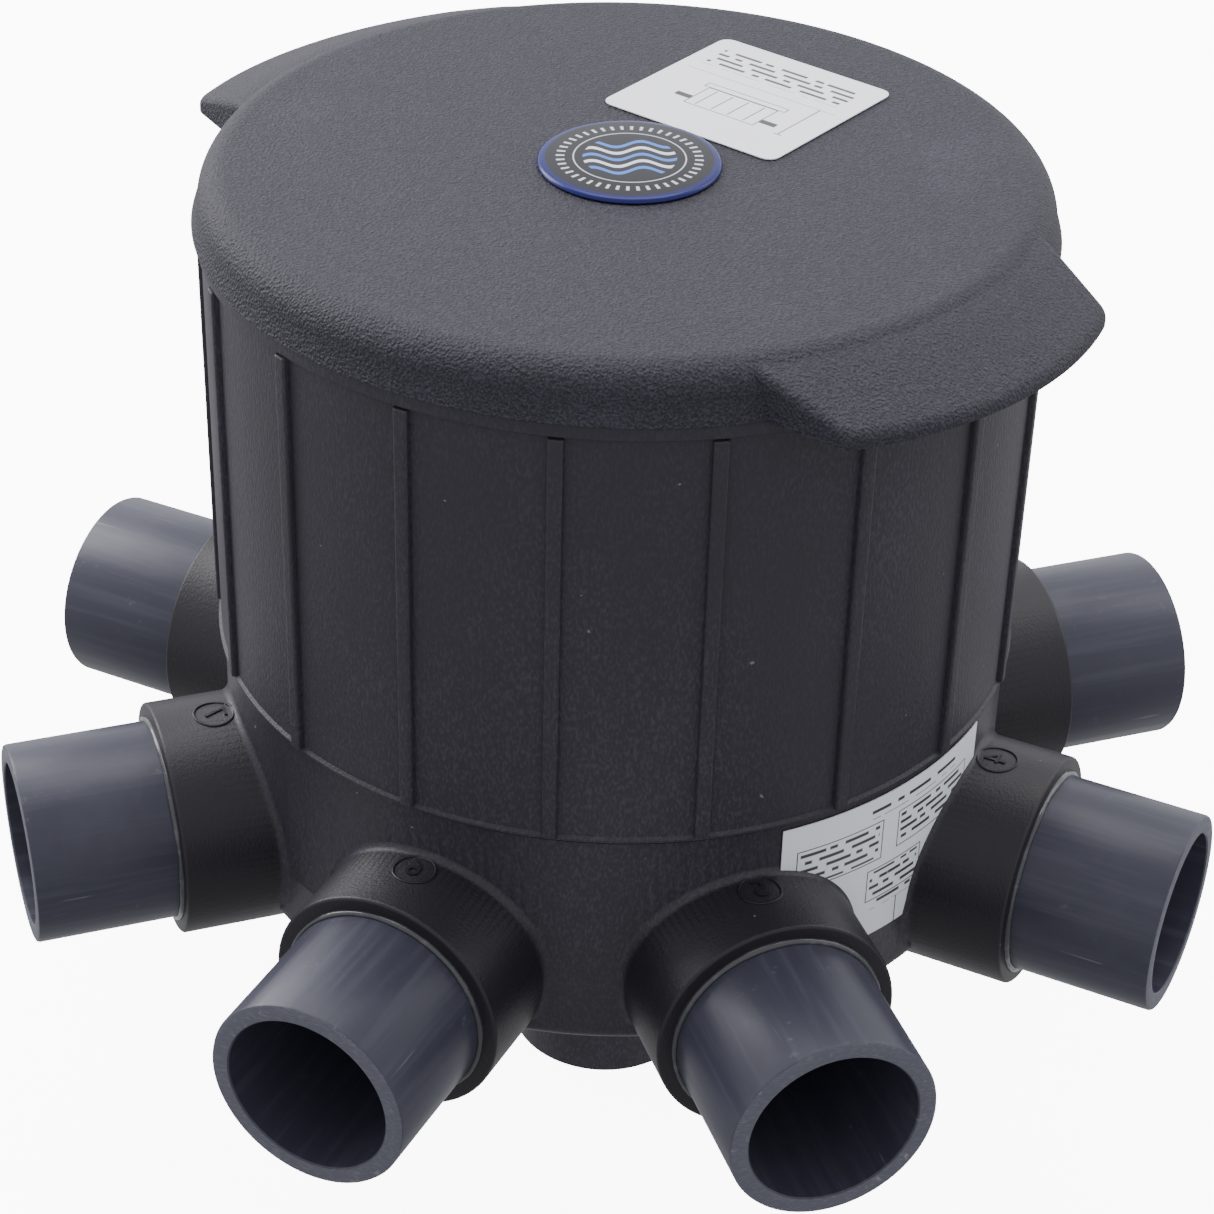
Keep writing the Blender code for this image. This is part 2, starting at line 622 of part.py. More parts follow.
def body_label(shader):
    """Thin sticker wrapped on the lower body, cut round the two collars beside it."""
    inner = WALL_RADIUS + GAP
    outer = inner + LABEL_THICKNESS
    clearance = COLLAR_RADIUS + 0.0006
    collars = [outlet_angle(5), outlet_angle(4)]
    bm = bmesh.new()
    columns = []
    steps = 26
    for i in range(steps + 1):
        angle = BODY_LABEL_FROM + (BODY_LABEL_TO - BODY_LABEL_FROM) * i / steps
        low = BODY_LABEL_BOTTOM
        for collar in collars:
            across = outer * math.sin(math.radians(angle - collar))
            if abs(across) < clearance:
                low = max(low, OUTLET_HEIGHT + math.sqrt(clearance ** 2 - across ** 2))
        corners = ((inner, low), (outer, low), (outer, BODY_LABEL_TOP), (inner, BODY_LABEL_TOP))
        columns.append([bm.verts.new((*polar(radius, angle), height)) for radius, height in corners])
    for left, right in zip(columns, columns[1:]):
        for i in range(4):
            j = (i + 1) % 4
            bm.faces.new((left[i], left[j], right[j], right[i]))
    bm.faces.new(columns[0])
    bm.faces.new(columns[-1])
    return piece("body_label", from_bmesh(bm), shader)


# ---------------------------------------------------------------- port plate and distributor
def port_plate(shader):
    """Deck over the passages, with eight ports and the centre tube."""
    ports = [circle(WELL_BORE, 16, polar(WELL_CIRCLE, outlet_angle(n))) for n in range(1, OUTLETS + 1)]
    shape = prism(circle(PLATE_RADIUS, LARGE), PLATE_BOTTOM, PLATE_TOP, [circle(0.0280, ROUND), *ports])
    counterbore = SPINDLE_TOP - 0.0040
    spindle = lathe([
        (BORE_RADIUS, PLATE_BOTTOM + 0.0002), (SPINDLE_RADIUS, PLATE_BOTTOM + 0.0002),
        (SPINDLE_RADIUS, SPINDLE_TOP), (TUBE_SPIGOT + GAP, SPINDLE_TOP),
        (TUBE_SPIGOT + GAP, counterbore), (BORE_RADIUS, counterbore),
    ], ROUND)
    return piece("port_plate", combine(shape, [spindle], "UNION"), shader)


def distributor(shader, pad_shader, washer_shader):
    """Rotating disc with one opening and a toothed ring, its pad and its thrust washer."""
    opening = polar(WELL_CIRCLE, outlet_angle(OPEN_OUTLET))
    shape = prism(circle(DISC_RADIUS, LARGE), DISC_BOTTOM, DISC_TOP,
                  [circle(HUB_RADIUS - 0.0035, ROUND), circle(DISC_OPENING, 16, opening)])
    hub_bore = SPINDLE_RADIUS + GAP
    hub = lathe([(hub_bore, DISC_BOTTOM + 0.0002), (HUB_RADIUS, DISC_BOTTOM + 0.0002),
                 (HUB_RADIUS, HUB_TOP), (hub_bore, HUB_TOP)], ROUND)
    teeth = prism(gear_outline(RING_TEETH, RING_MODULE, OUTPUT_DIRECTION, gap_there=True),
                  DISC_TOP - 0.0010, RING_TOOTH_TOP, [circle(HUB_RADIUS - 0.0025, ROUND)])
    piece("distributor_disc", combine(shape, [hub, teeth], "UNION"), shader)
    pad = prism(circle(DISC_RADIUS, LARGE), PLATE_TOP + GAP, PAD_TOP,
                [circle(HUB_RADIUS + 0.0015, ROUND), circle(DISC_OPENING, 16, opening)])
    piece("distributor_wear_pad", pad, pad_shader)
    low, high = HUB_TOP + GAP, SPINDLE_TOP
    washer = lathe([(hub_bore, low), (TUBE_FLANGE, low), (TUBE_FLANGE, high), (hub_bore, high)], ROUND)
    piece("thrust_washer", washer, washer_shader)


# ---------------------------------------------------------------- turbine
def inlet_stator(shader):
    """Guide vanes with the shaft's lower bearing, inside the centre tube."""
    low, high = PLATE_TOP + 0.0030, PLATE_TOP + 0.0130
    bearing = SHAFT_RADIUS + GAP
    outer, inner = BORE_RADIUS - GAP, BORE_RADIUS - STATOR_RING
    shape = lathe([(inner, low), (outer, low), (outer, high), (inner, high)], ROUND)
    hub = lathe([(bearing, low - 0.002), (0.0048, low - 0.002), (0.0062, low), (0.0062, high + 0.001),
                 (bearing, high + 0.001)], COARSE)
    vanes = [radial_block(90.0 * i + 45.0, 0.0055, 0.0235, VANE_THICKNESS, low + 0.0005, high - 0.0005)
             for i in range(4)]
    return piece("inlet_stator", combine(shape, [*vanes, hub], "UNION"), shader)


def turbine_tube(shader):
    """Flanged tube round the impeller, with windows that let the water out."""
    spigot_bottom = TUBE_BOTTOM - 0.0037
    shape = lathe([
        (BORE_RADIUS, spigot_bottom), (TUBE_SPIGOT, spigot_bottom), (TUBE_SPIGOT, TUBE_BOTTOM),
        (TUBE_FLANGE, TUBE_BOTTOM), (TUBE_FLANGE, TUBE_BOTTOM + 0.0030),
        (TUBE_RADIUS, TUBE_BOTTOM + 0.0045), (TUBE_RADIUS, TUBE_TOP - 0.0035),
        (TUBE_RIM, TUBE_TOP - 0.0030), (TUBE_RIM, TUBE_TOP), (BORE_RADIUS, TUBE_TOP),
    ], ROUND)
    windows = [radial_block(90.0 * i, 0.0180, 0.0360, 0.0260, TUBE_BOTTOM + 0.0197, TUBE_TOP - 0.0060)
               for i in range(4)]
    return piece("turbine_tube", combine(shape, windows, "DIFFERENCE"), shader)


def impeller(shader):
    """Axial turbine wheel with slanted blades."""
    low, high = IMPELLER_BOTTOM, IMPELLER_BOTTOM + 0.0125
    hub_bore = SHAFT_RADIUS + GAP
    shape = lathe([(hub_bore, low), (HUB_NOSE, low), (IMPELLER_HUB, low + 0.002), (IMPELLER_HUB, high),
                   (hub_bore, high)], COARSE)
    blades = []
    for i in range(BLADES):
        turn = Matrix.Rotation(2 * math.pi * i / BLADES, 4, "Z")
        slant = Matrix.Rotation(math.radians(BLADE_SLANT), 4, "X")
        place = turn @ Matrix.Translation((0.0148, 0.0, (low + high) / 2)) @ slant
        blades.append(block(BLADE_SIZE, place))
    return piece("impeller", combine(shape, blades, "UNION"), shader)


def impeller_shaft(shader):
    """Steel shaft with chamfered ends."""
    low, tip = SHAFT_BOTTOM, SHAFT_RADIUS - 0.0005
    shape = lathe([(0.0, low), (tip, low), (SHAFT_RADIUS, low + 0.0005), (SHAFT_RADIUS, SHAFT_TOP - 0.0005),
                   (tip, SHAFT_TOP), (0.0, SHAFT_TOP)], COARSE)
    return piece("impeller_shaft", shape, shader)


# ---------------------------------------------------------------- gear train
def drive_pinion(shader):
    """Pinion on the impeller's shaft."""
    outline = gear_outline(PINION_TEETH, FINE_MODULE, OUTPUT_DIRECTION + IDLER_TURN, gap_there=False)
    shape = prism(outline, CASE_FLOOR + 0.0007, CASE_FLOOR + 0.0077, [circle(SHAFT_RADIUS + GAP, COARSE)])
    return piece("drive_pinion", shape, shader)


def idler_gear(shader):
    """Compound gear: a wheel driven by the shaft's pinion and a pinion on top of it."""
    toward_main = OUTPUT_DIRECTION + IDLER_TURN + 180.0
    to_output = OUTPUT_AXIS - IDLER_AXIS
    toward_output = math.degrees(math.atan2(to_output.y, to_output.x))
    bore = [circle(AXLE_RADIUS + GAP, COARSE)]
    low = CASE_FLOOR + 0.0012
    wheel = gear_outline(WHEEL_TEETH, FINE_MODULE, toward_main, gap_there=True)
    shape = prism(wheel, low, low + WHEEL_HEIGHT, bore)
    pinion = prism(gear_outline(PINION_TEETH, FINE_MODULE, toward_output, gap_there=False), low + 0.0050,
                   low + 0.0150, [circle(AXLE_RADIUS + 0.0006, COARSE)])
    return piece("idler_gear", combine(shape, [pinion], "UNION"), shader, IDLER_AXIS)


def idler_axle(shader):
    """Steel axle of the idler gear, held between case and case cover."""
    low = CASE_BOTTOM + 0.0012
    shape = rod((0.0, 0.0, low), (0.0, 0.0, SHAFT_TOP), AXLE_RADIUS, COARSE)
    return piece("idler_axle", shape, shader, IDLER_AXIS)


def output_gear(shader):
    """Second compound gear: its wheel is in the case, its pinion drives the distributor's ring."""
    to_idler = IDLER_AXIS - OUTPUT_AXIS
    toward_idler = math.degrees(math.atan2(to_idler.y, to_idler.x))
    wheel_low = CASE_FLOOR + 0.0087
    pinion_low = DISC_TOP + 0.0008
    shape = rod((0.0, 0.0, pinion_low - GAP), (0.0, 0.0, SHAFT_TOP), OUTPUT_SHAFT, COARSE)
    wheel = prism(gear_outline(WHEEL_TEETH, FINE_MODULE, toward_idler, gap_there=True), wheel_low,
                  wheel_low + WHEEL_HEIGHT, [circle(OUTPUT_SHAFT - 0.0005, COARSE)])
    pinion = prism(gear_outline(PINION_TEETH, RING_MODULE, OUTPUT_DIRECTION + 180.0, gap_there=False),
                   pinion_low, HUB_TOP - 0.0003, [circle(OUTPUT_SHAFT - 0.0005, COARSE)])
    collar = lathe([(OUTPUT_SHAFT - 0.0005, CASE_FLOOR + GAP), (0.0060, CASE_FLOOR + GAP),
                    (0.0060, wheel_low + 0.001), (OUTPUT_SHAFT - 0.0005, wheel_low + 0.001)], COARSE)
    return piece("output_gear", combine(shape, [wheel, pinion, collar], "UNION"), shader, OUTPUT_AXIS)


def screw_places():
    """Three screws round the gearbox: behind the main axis and beyond each gear."""
    beyond_idler = IDLER_AXIS + polar(0.0300, OUTPUT_DIRECTION + 115.0)
    beyond_output = OUTPUT_AXIS + polar(0.0300, OUTPUT_DIRECTION - 15.0)
    return [polar(0.0290, OUTPUT_DIRECTION + 180.0), beyond_idler, beyond_output]


def case_outline():
    """Outline of the gearbox, round its gears and screws."""
    ears = [(place, 0.0055) for place in screw_places()]
    return hull([((0.0, 0.0), 0.0330), (IDLER_AXIS, 0.0275), (OUTPUT_AXIS, 0.0275), *ears])


def gearbox_case(shader):
    """Open-topped case with bearings, standing on the turbine tube."""
    shape = prism(case_outline(), CASE_BOTTOM, CASE_TOP)
    bearing = rod((*OUTPUT_AXIS, CASE_BOTTOM - 0.0070), (*OUTPUT_AXIS, CASE_BOTTOM + 0.001), 0.0075, 24)
    combine(shape, [bearing], "UNION")
    room = hull([((0.0, 0.0), 0.0200), (IDLER_AXIS, 0.0248), (OUTPUT_AXIS, 0.0248)])
    hollows = [
        prism(room, CASE_FLOOR, CASE_TOP + 0.01),
        rod((0.0, 0.0, CASE_BOTTOM - 0.01), (0.0, 0.0, CASE_TOP), SHAFT_RADIUS + GAP, COARSE),
        rod((*OUTPUT_AXIS, CASE_BOTTOM - 0.02), (*OUTPUT_AXIS, CASE_TOP), OUTPUT_SHAFT + GAP, COARSE),
        rod((*IDLER_AXIS, CASE_BOTTOM + 0.0009), (*IDLER_AXIS, CASE_TOP), AXLE_RADIUS + GAP, COARSE),
    ]
    hollows += [rod((*place, CASE_TOP - 0.0115), (*place, CASE_TOP + 0.01), SCREW_RADIUS + GAP, 12)
                for place in screw_places()]
    return piece("gearbox_case", combine(shape, hollows, "DIFFERENCE"), shader)


def gearbox_cover(shader):
    """Plate that closes the gearbox and holds the upper bearings."""
    holes = [circle(SHAFT_RADIUS + GAP, COARSE), circle(OUTPUT_SHAFT + GAP, COARSE, OUTPUT_AXIS),
             circle(AXLE_RADIUS + GAP, COARSE, IDLER_AXIS)]
    holes += [circle(SCREW_RADIUS + GAP, 12, place) for place in screw_places()]
    return piece("gearbox_cover", prism(case_outline(), CASE_TOP + GAP, CASE_COVER_TOP, holes), shader)


def gearbox_screws(shader):
    """Three small screws that hold the gearbox cover."""
    seat = CASE_COVER_TOP + GAP
    head_top = seat + 0.0024
    for number, place in enumerate(screw_places(), start=1):
        shape = lathe([
            (0.0, CASE_TOP - SCREW_DEPTH), (SCREW_RADIUS, CASE_TOP - SCREW_DEPTH), (SCREW_RADIUS, seat),
            (SCREW_HEAD, seat), (SCREW_HEAD, head_top - 0.0006), (SCREW_HEAD - 0.0008, head_top),
            (0.0, head_top),
        ], COARSE)
        piece(f"gearbox_screw_{number}", shape, shader, place)


# ---------------------------------------------------------------- assembly
def build():
    """Make every piece with its own material."""
    for item in list(bpy.data.objects):
        bpy.data.objects.remove(item, do_unlink=True)
    cover_plastic = material("cover_plastic", (0.050, 0.051, 0.060), 0.62)
    body_plastic = material("body_plastic", (0.016, 0.015, 0.018), 0.42)
    pipe_plastic = material("pipe_plastic", (0.098, 0.102, 0.130), 0.38)
    badge_plastic = material("badge_plastic", (0.020, 0.024, 0.120), 0.12)
    label_film = material("label_film", (0.85, 0.85, 0.86), 0.40)
    rubber = material("seal_rubber", (0.012, 0.012, 0.012), 0.75)
    acetal = material("gear_acetal", (0.78, 0.77, 0.72), 0.35)
    steel = material("stainless_steel", (0.62, 0.61, 0.60), 0.25, 1.0)
    inner_plastic = material("inner_plastic", (0.075, 0.080, 0.085), 0.45)

    lower_body(body_plastic)
    pipe_stubs(pipe_plastic)
    barrel_gasket(rubber)
    barrel(body_plastic)
    cover(cover_plastic)
    badge(badge_plastic)
    cover_label(label_film)
    body_label(label_film)
    lid_plate(inner_plastic)
    lid_seals(rubber)
    lid_pivot_screw(steel)
    port_plate(inner_plastic)
    distributor(acetal, rubber, inner_plastic)
    inlet_stator(inner_plastic)
    turbine_tube(inner_plastic)
    impeller(acetal)
    impeller_shaft(steel)
    drive_pinion(acetal)
    idler_gear(acetal)
    idler_axle(steel)
    output_gear(acetal)
    gearbox_case(inner_plastic)
    gearbox_cover(inner_plastic)
    gearbox_screws(steel)


build()
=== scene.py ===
"""Looks of an eight-outlet water distribution valve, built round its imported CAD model."""

import json
import math

import bmesh
import bpy
from mathutils import Matrix, Vector, noise


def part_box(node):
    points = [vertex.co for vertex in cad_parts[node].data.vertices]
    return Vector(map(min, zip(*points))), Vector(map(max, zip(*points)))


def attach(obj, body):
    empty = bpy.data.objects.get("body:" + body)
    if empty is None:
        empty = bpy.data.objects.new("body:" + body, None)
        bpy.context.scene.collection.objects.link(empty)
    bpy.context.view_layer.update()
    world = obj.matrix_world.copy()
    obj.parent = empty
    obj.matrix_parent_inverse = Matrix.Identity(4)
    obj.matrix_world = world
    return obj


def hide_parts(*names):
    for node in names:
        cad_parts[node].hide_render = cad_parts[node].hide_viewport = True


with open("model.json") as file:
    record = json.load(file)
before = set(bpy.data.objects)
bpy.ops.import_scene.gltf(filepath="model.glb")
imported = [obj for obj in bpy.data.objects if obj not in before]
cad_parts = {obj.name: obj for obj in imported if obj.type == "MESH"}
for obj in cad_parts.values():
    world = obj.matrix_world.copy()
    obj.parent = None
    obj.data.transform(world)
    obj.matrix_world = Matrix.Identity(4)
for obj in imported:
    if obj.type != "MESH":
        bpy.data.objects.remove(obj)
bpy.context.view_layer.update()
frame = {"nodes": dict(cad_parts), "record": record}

# ---------------------------------------------------------------- metres and degrees
GAP = 0.0003                      # between pieces that touch
OUTLETS = 8
OUTLET_STEP = 360.0 / OUTLETS
OUTLET_FIRST = 112.5              # direction of outlet 1; the others follow clockwise

PIPE_LOW, PIPE_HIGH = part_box("pipe_stub_5")
OUTLET_HEIGHT = (PIPE_LOW.z + PIPE_HIGH.z) / 2
PIPE_RADIUS = (PIPE_HIGH.z - PIPE_LOW.z) / 2
PIPE_WALL = 0.00554
BORE_RADIUS = PIPE_RADIUS - PIPE_WALL
PIPE_END = 0.1876
COLLAR_END = 0.1443
COLLAR_RADIUS = 0.0355
COLLAR_START = 0.100
SOCKET_DEPTH = 0.038
SOCKET_STOP = COLLAR_END - SOCKET_DEPTH

WALL_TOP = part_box("lower_body")[1].z
WALL_RADIUS = 0.1195
FLOOR_BOTTOM = 0.0930
FLOOR_TOP = 0.0985
FLOOR_ROUND = 0.0040              # rounding between the floor and the wall
RIM_BORE = 0.1146
LEDGE_RADIUS = 0.1105
DECK_HEIGHT = 0.1600
PARTING_HEIGHT = 0.1145
PARTING_HALF = 0.00035            # half height of the mould's parting line
PARTING_PROUD = 0.00012
MOULD_EDGE = 0.0010               # rounding of the spigot's and the collars' edges
WELL_CIRCLE = 0.078               # the ports' centres lie on this radius
WELL_BORE = 0.022
WELL_BOTTOM = OUTLET_HEIGHT - 0.010
PASSAGE_WIDTH = 0.0560
PASSAGE_BOTTOM = 0.0855
PASSAGE_START = 0.0480
PASSAGE_END = 0.1120
PASSAGE_DRAFT = 0.0100            # how much shorter the passages are under the floor
PASSAGE_BORE_START = 0.0710
FILLET_SIZE = 0.0028              # rounding between a collar and the wall
FILLET_SWEEP = (-24.0, 204.0)     # part of the way round the collar that it covers

NUMBER_PLACE = 0.1265             # distance of the cast numbers from the middle
NUMBER_SIZE = 0.00972             # size of the font
NUMBER_RING = 0.0060              # radius of the ring round a number
NUMBER_RAISED = 0.00040

BARREL_LOW, BARREL_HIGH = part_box("barrel")
BARREL_BOTTOM = BARREL_LOW.z
BARREL_TOP = BARREL_HIGH.z
BARREL_RADIUS = 0.1202
BARREL_BORE = 0.1155
FLANGE_RADIUS = 0.1215
SKIRT_RADIUS = 0.1211             # narrow band along the barrel's lower edge
RIBS = 18
RIB_FIRST = 5.0
RIB_HALF_WIDTH = 0.0021
RIB_PROUD = 0.0018
RIB_ROUND = 0.0008
LIP_RADIUS = 0.1100
LIP_HEIGHT = 0.0055
LEDGE_TOP = 0.2740
LEDGE_BORE = 0.1014

COVER_BOTTOM = BARREL_TOP + GAP
COVER_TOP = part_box("cover")[1].z
COVER_RADIUS = 0.1226
COVER_SHOULDER = 0.1207
COVER_FILLET = 0.0093
COVER_INSIDE = COVER_TOP - 0.0042
COVER_ANGLE = -42.7               # direction of one wing; the other is opposite
LUGS = 4
LUG_ANGLE = 20.0                  # width of a lug, in degrees
NOTCH_ANGLE = 27.0                # width of the notch it passes
LUG_RADIUS = 0.1144
LUG_BOTTOM = 0.2880
LUG_TOP = 0.2931
RING_BORE = 0.1055
RING_RADIUS = 0.1090
RING_BOTTOM = 0.2865
WING_REACH = 0.1443               # the wings' sizes are for a wing along +X
WING_CORNER = (0.1322, 0.0511)
WING_ROOT = (0.0950, 0.0585)
WING_EDGE = 0.0024
WING_SLOPE = 0.41
WING_BEND = (0.104, 0.124)        # radii between which the top bends down to the slope
WING_START = 0.0980
WING_SKIN = 0.003
POCKET_ANGLE = 36.0
POCKET_RADII = (COVER_RADIUS + 0.0035, 0.1370)
BOSS_RADIUS = 0.0090
BOSS_BOTTOM = 0.2900
PIVOT_HOLE = 0.0039
PIVOT_HOLE_TOP = 0.3075

BADGE_LOW, BADGE_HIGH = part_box("badge")
BADGE_CENTRE = (BADGE_LOW + BADGE_HIGH) / 2
BADGE_RADIUS = (BADGE_HIGH.x - BADGE_LOW.x) / 2
BADGE_RIM = 0.0233                # the blue rim starts here
BADGE_TURN = 6.0
LABEL_LOW, LABEL_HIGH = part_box("cover_label")
LABEL_CENTRE = (LABEL_LOW + LABEL_HIGH) / 2
LABEL_TURN = -34.45


# ---------------------------------------------------------------- mesh helpers
def polar(radius, degrees):
    """Plan point at a radius and an angle from +X."""
    angle = math.radians(degrees)
    return Vector((radius * math.cos(angle), radius * math.sin(angle)))


def circle(radius, sides, centre=(0.0, 0.0)):
    """Closed plan outline of a round shape."""
    middle = Vector(centre)
    return [middle + polar(radius, 360.0 * i / sides) for i in range(sides)]


def quarter(centre, radius, start, end, steps):
    """Arc of (radius, height) points for a turned profile."""
    middle = Vector(centre)
    angles = [start + (end - start) * i / steps for i in range(steps + 1)]
    return [tuple(middle + polar(radius, angle)) for angle in angles]


def outlet_angle(number):
    """Direction of an outlet."""
    return OUTLET_FIRST - OUTLET_STEP * (number - 1)


def from_bmesh(bm, name="shape"):
    """Link a mesh with its faces pointing out."""
    bmesh.ops.recalc_face_normals(bm, faces=bm.faces)
    mesh = bpy.data.meshes.new(name)
    bm.to_mesh(mesh)
    bm.free()
    shape = bpy.data.objects.new(name, mesh)
    bpy.context.collection.objects.link(shape)
    return shape


def skin(columns):
    """Closed mesh through a ring of equal closed sections; points on the axis are shared."""
    bm = bmesh.new()
    poles = {}
    grid = []
    for column in columns:
        row = []
        for x, y, z in column:
            if x == 0.0 and y == 0.0:
                if z not in poles:
                    poles[z] = bm.verts.new((x, y, z))
                row.append(poles[z])
            else:
                row.append(bm.verts.new((x, y, z)))
        grid.append(row)
    for left, right in zip(grid, grid[1:] + grid[:1]):
        for i in range(len(left)):
            j = (i + 1) % len(left)
            corners = list(dict.fromkeys((left[i], right[i], right[j], left[j])))
            if len(corners) > 2:
                bm.faces.new(corners)
    return from_bmesh(bm)


def lathe(profile, sides, start=0.0):
    """Turn a closed (radius, height) outline about Z."""
    columns = []
    for i in range(sides):
        direction = polar(1.0, start + 360.0 * i / sides)
        columns.append([(direction.x * r, direction.y * r, z) for r, z in profile])
    return skin(columns)


def lay_along(shape, degrees):
    """Lay a shape made along Z on an outlet's axis, its top pointing out."""
    out = Vector((*polar(1.0, degrees), 0.0))
    side = Vector((-out.y, out.x, 0.0))
    turn = Matrix((side, Vector((0.0, 0.0, 1.0)), out)).transposed().to_4x4()
    shape.data.transform(Matrix.Translation((0.0, 0.0, OUTLET_HEIGHT)) @ turn)
    return shape


def radial_lathe(degrees, profile, sides):
    """Turn a closed (radius, distance out) outline about an outlet's axis."""
    return lay_along(lathe(profile, sides), degrees)


def prism(outline, low, high, holes=()):
    """Extrude a plan outline, with holes, between two heights."""
    bm = bmesh.new()
    edges = []
    for loop in (outline, *holes):
        points = [bm.verts.new((p[0], p[1], low)) for p in loop]
        edges += [bm.edges.new((points[i - 1], points[i])) for i in range(len(points))]
    bmesh.ops.triangle_fill(bm, use_beauty=True, edges=edges)
    raised = bmesh.ops.extrude_face_region(bm, geom=bm.faces[:])["geom"]
    upper = [v for v in raised if isinstance(v, bmesh.types.BMVert)]
    bmesh.ops.translate(bm, verts=upper, vec=(0.0, 0.0, high - low))
    return from_bmesh(bm)


def upright(centre, low, high, radius, sides):
    """Upright solid cylinder."""
    return prism(circle(radius, sides, centre), low, high)


def sector(degrees, spread, inner, outer, low, high, steps=12):
    """Curved block between two radii, centred on a direction."""
    angles = [degrees + spread * (i / steps - 0.5) for i in range(steps + 1)]
    outline = [polar(outer, a) for a in angles] + [polar(inner, a) for a in reversed(angles)]
    return prism(outline, low, high)


def combine(target, tools, operation):
    """Join the tools to a shape, or cut them from it, in one Boolean, and remove them."""
    group = bpy.data.collections.new("tools")
    for tool in tools:
        group.objects.link(tool)
    step = target.modifiers.new("step", "BOOLEAN")
    step.operation = operation
    step.solver = "EXACT"
    step.operand_type = "COLLECTION"
    step.collection = group
    graph = bpy.context.evaluated_depsgraph_get()
    mesh = bpy.data.meshes.new_from_object(target.evaluated_get(graph))
    target.modifiers.clear()
    target.data = mesh
    for tool in tools:
        bpy.data.objects.remove(tool, do_unlink=True)
    bpy.data.collections.remove(group)
    return target


def dress(shape, name, body, look, nodes=(), angle=30.0):
    """Name a piece, shade it, set its body and hide the CAD nodes it stands for."""
    shape.name = name
    shape.data.name = name
    shape.data.materials.clear()
    shape.data.materials.append(look)
    shape.data.shade_smooth()
    shape.data.set_sharp_from_angle(angle=math.radians(angle))
    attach(shape, body)
    if nodes:
        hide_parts(*nodes)
    return shape


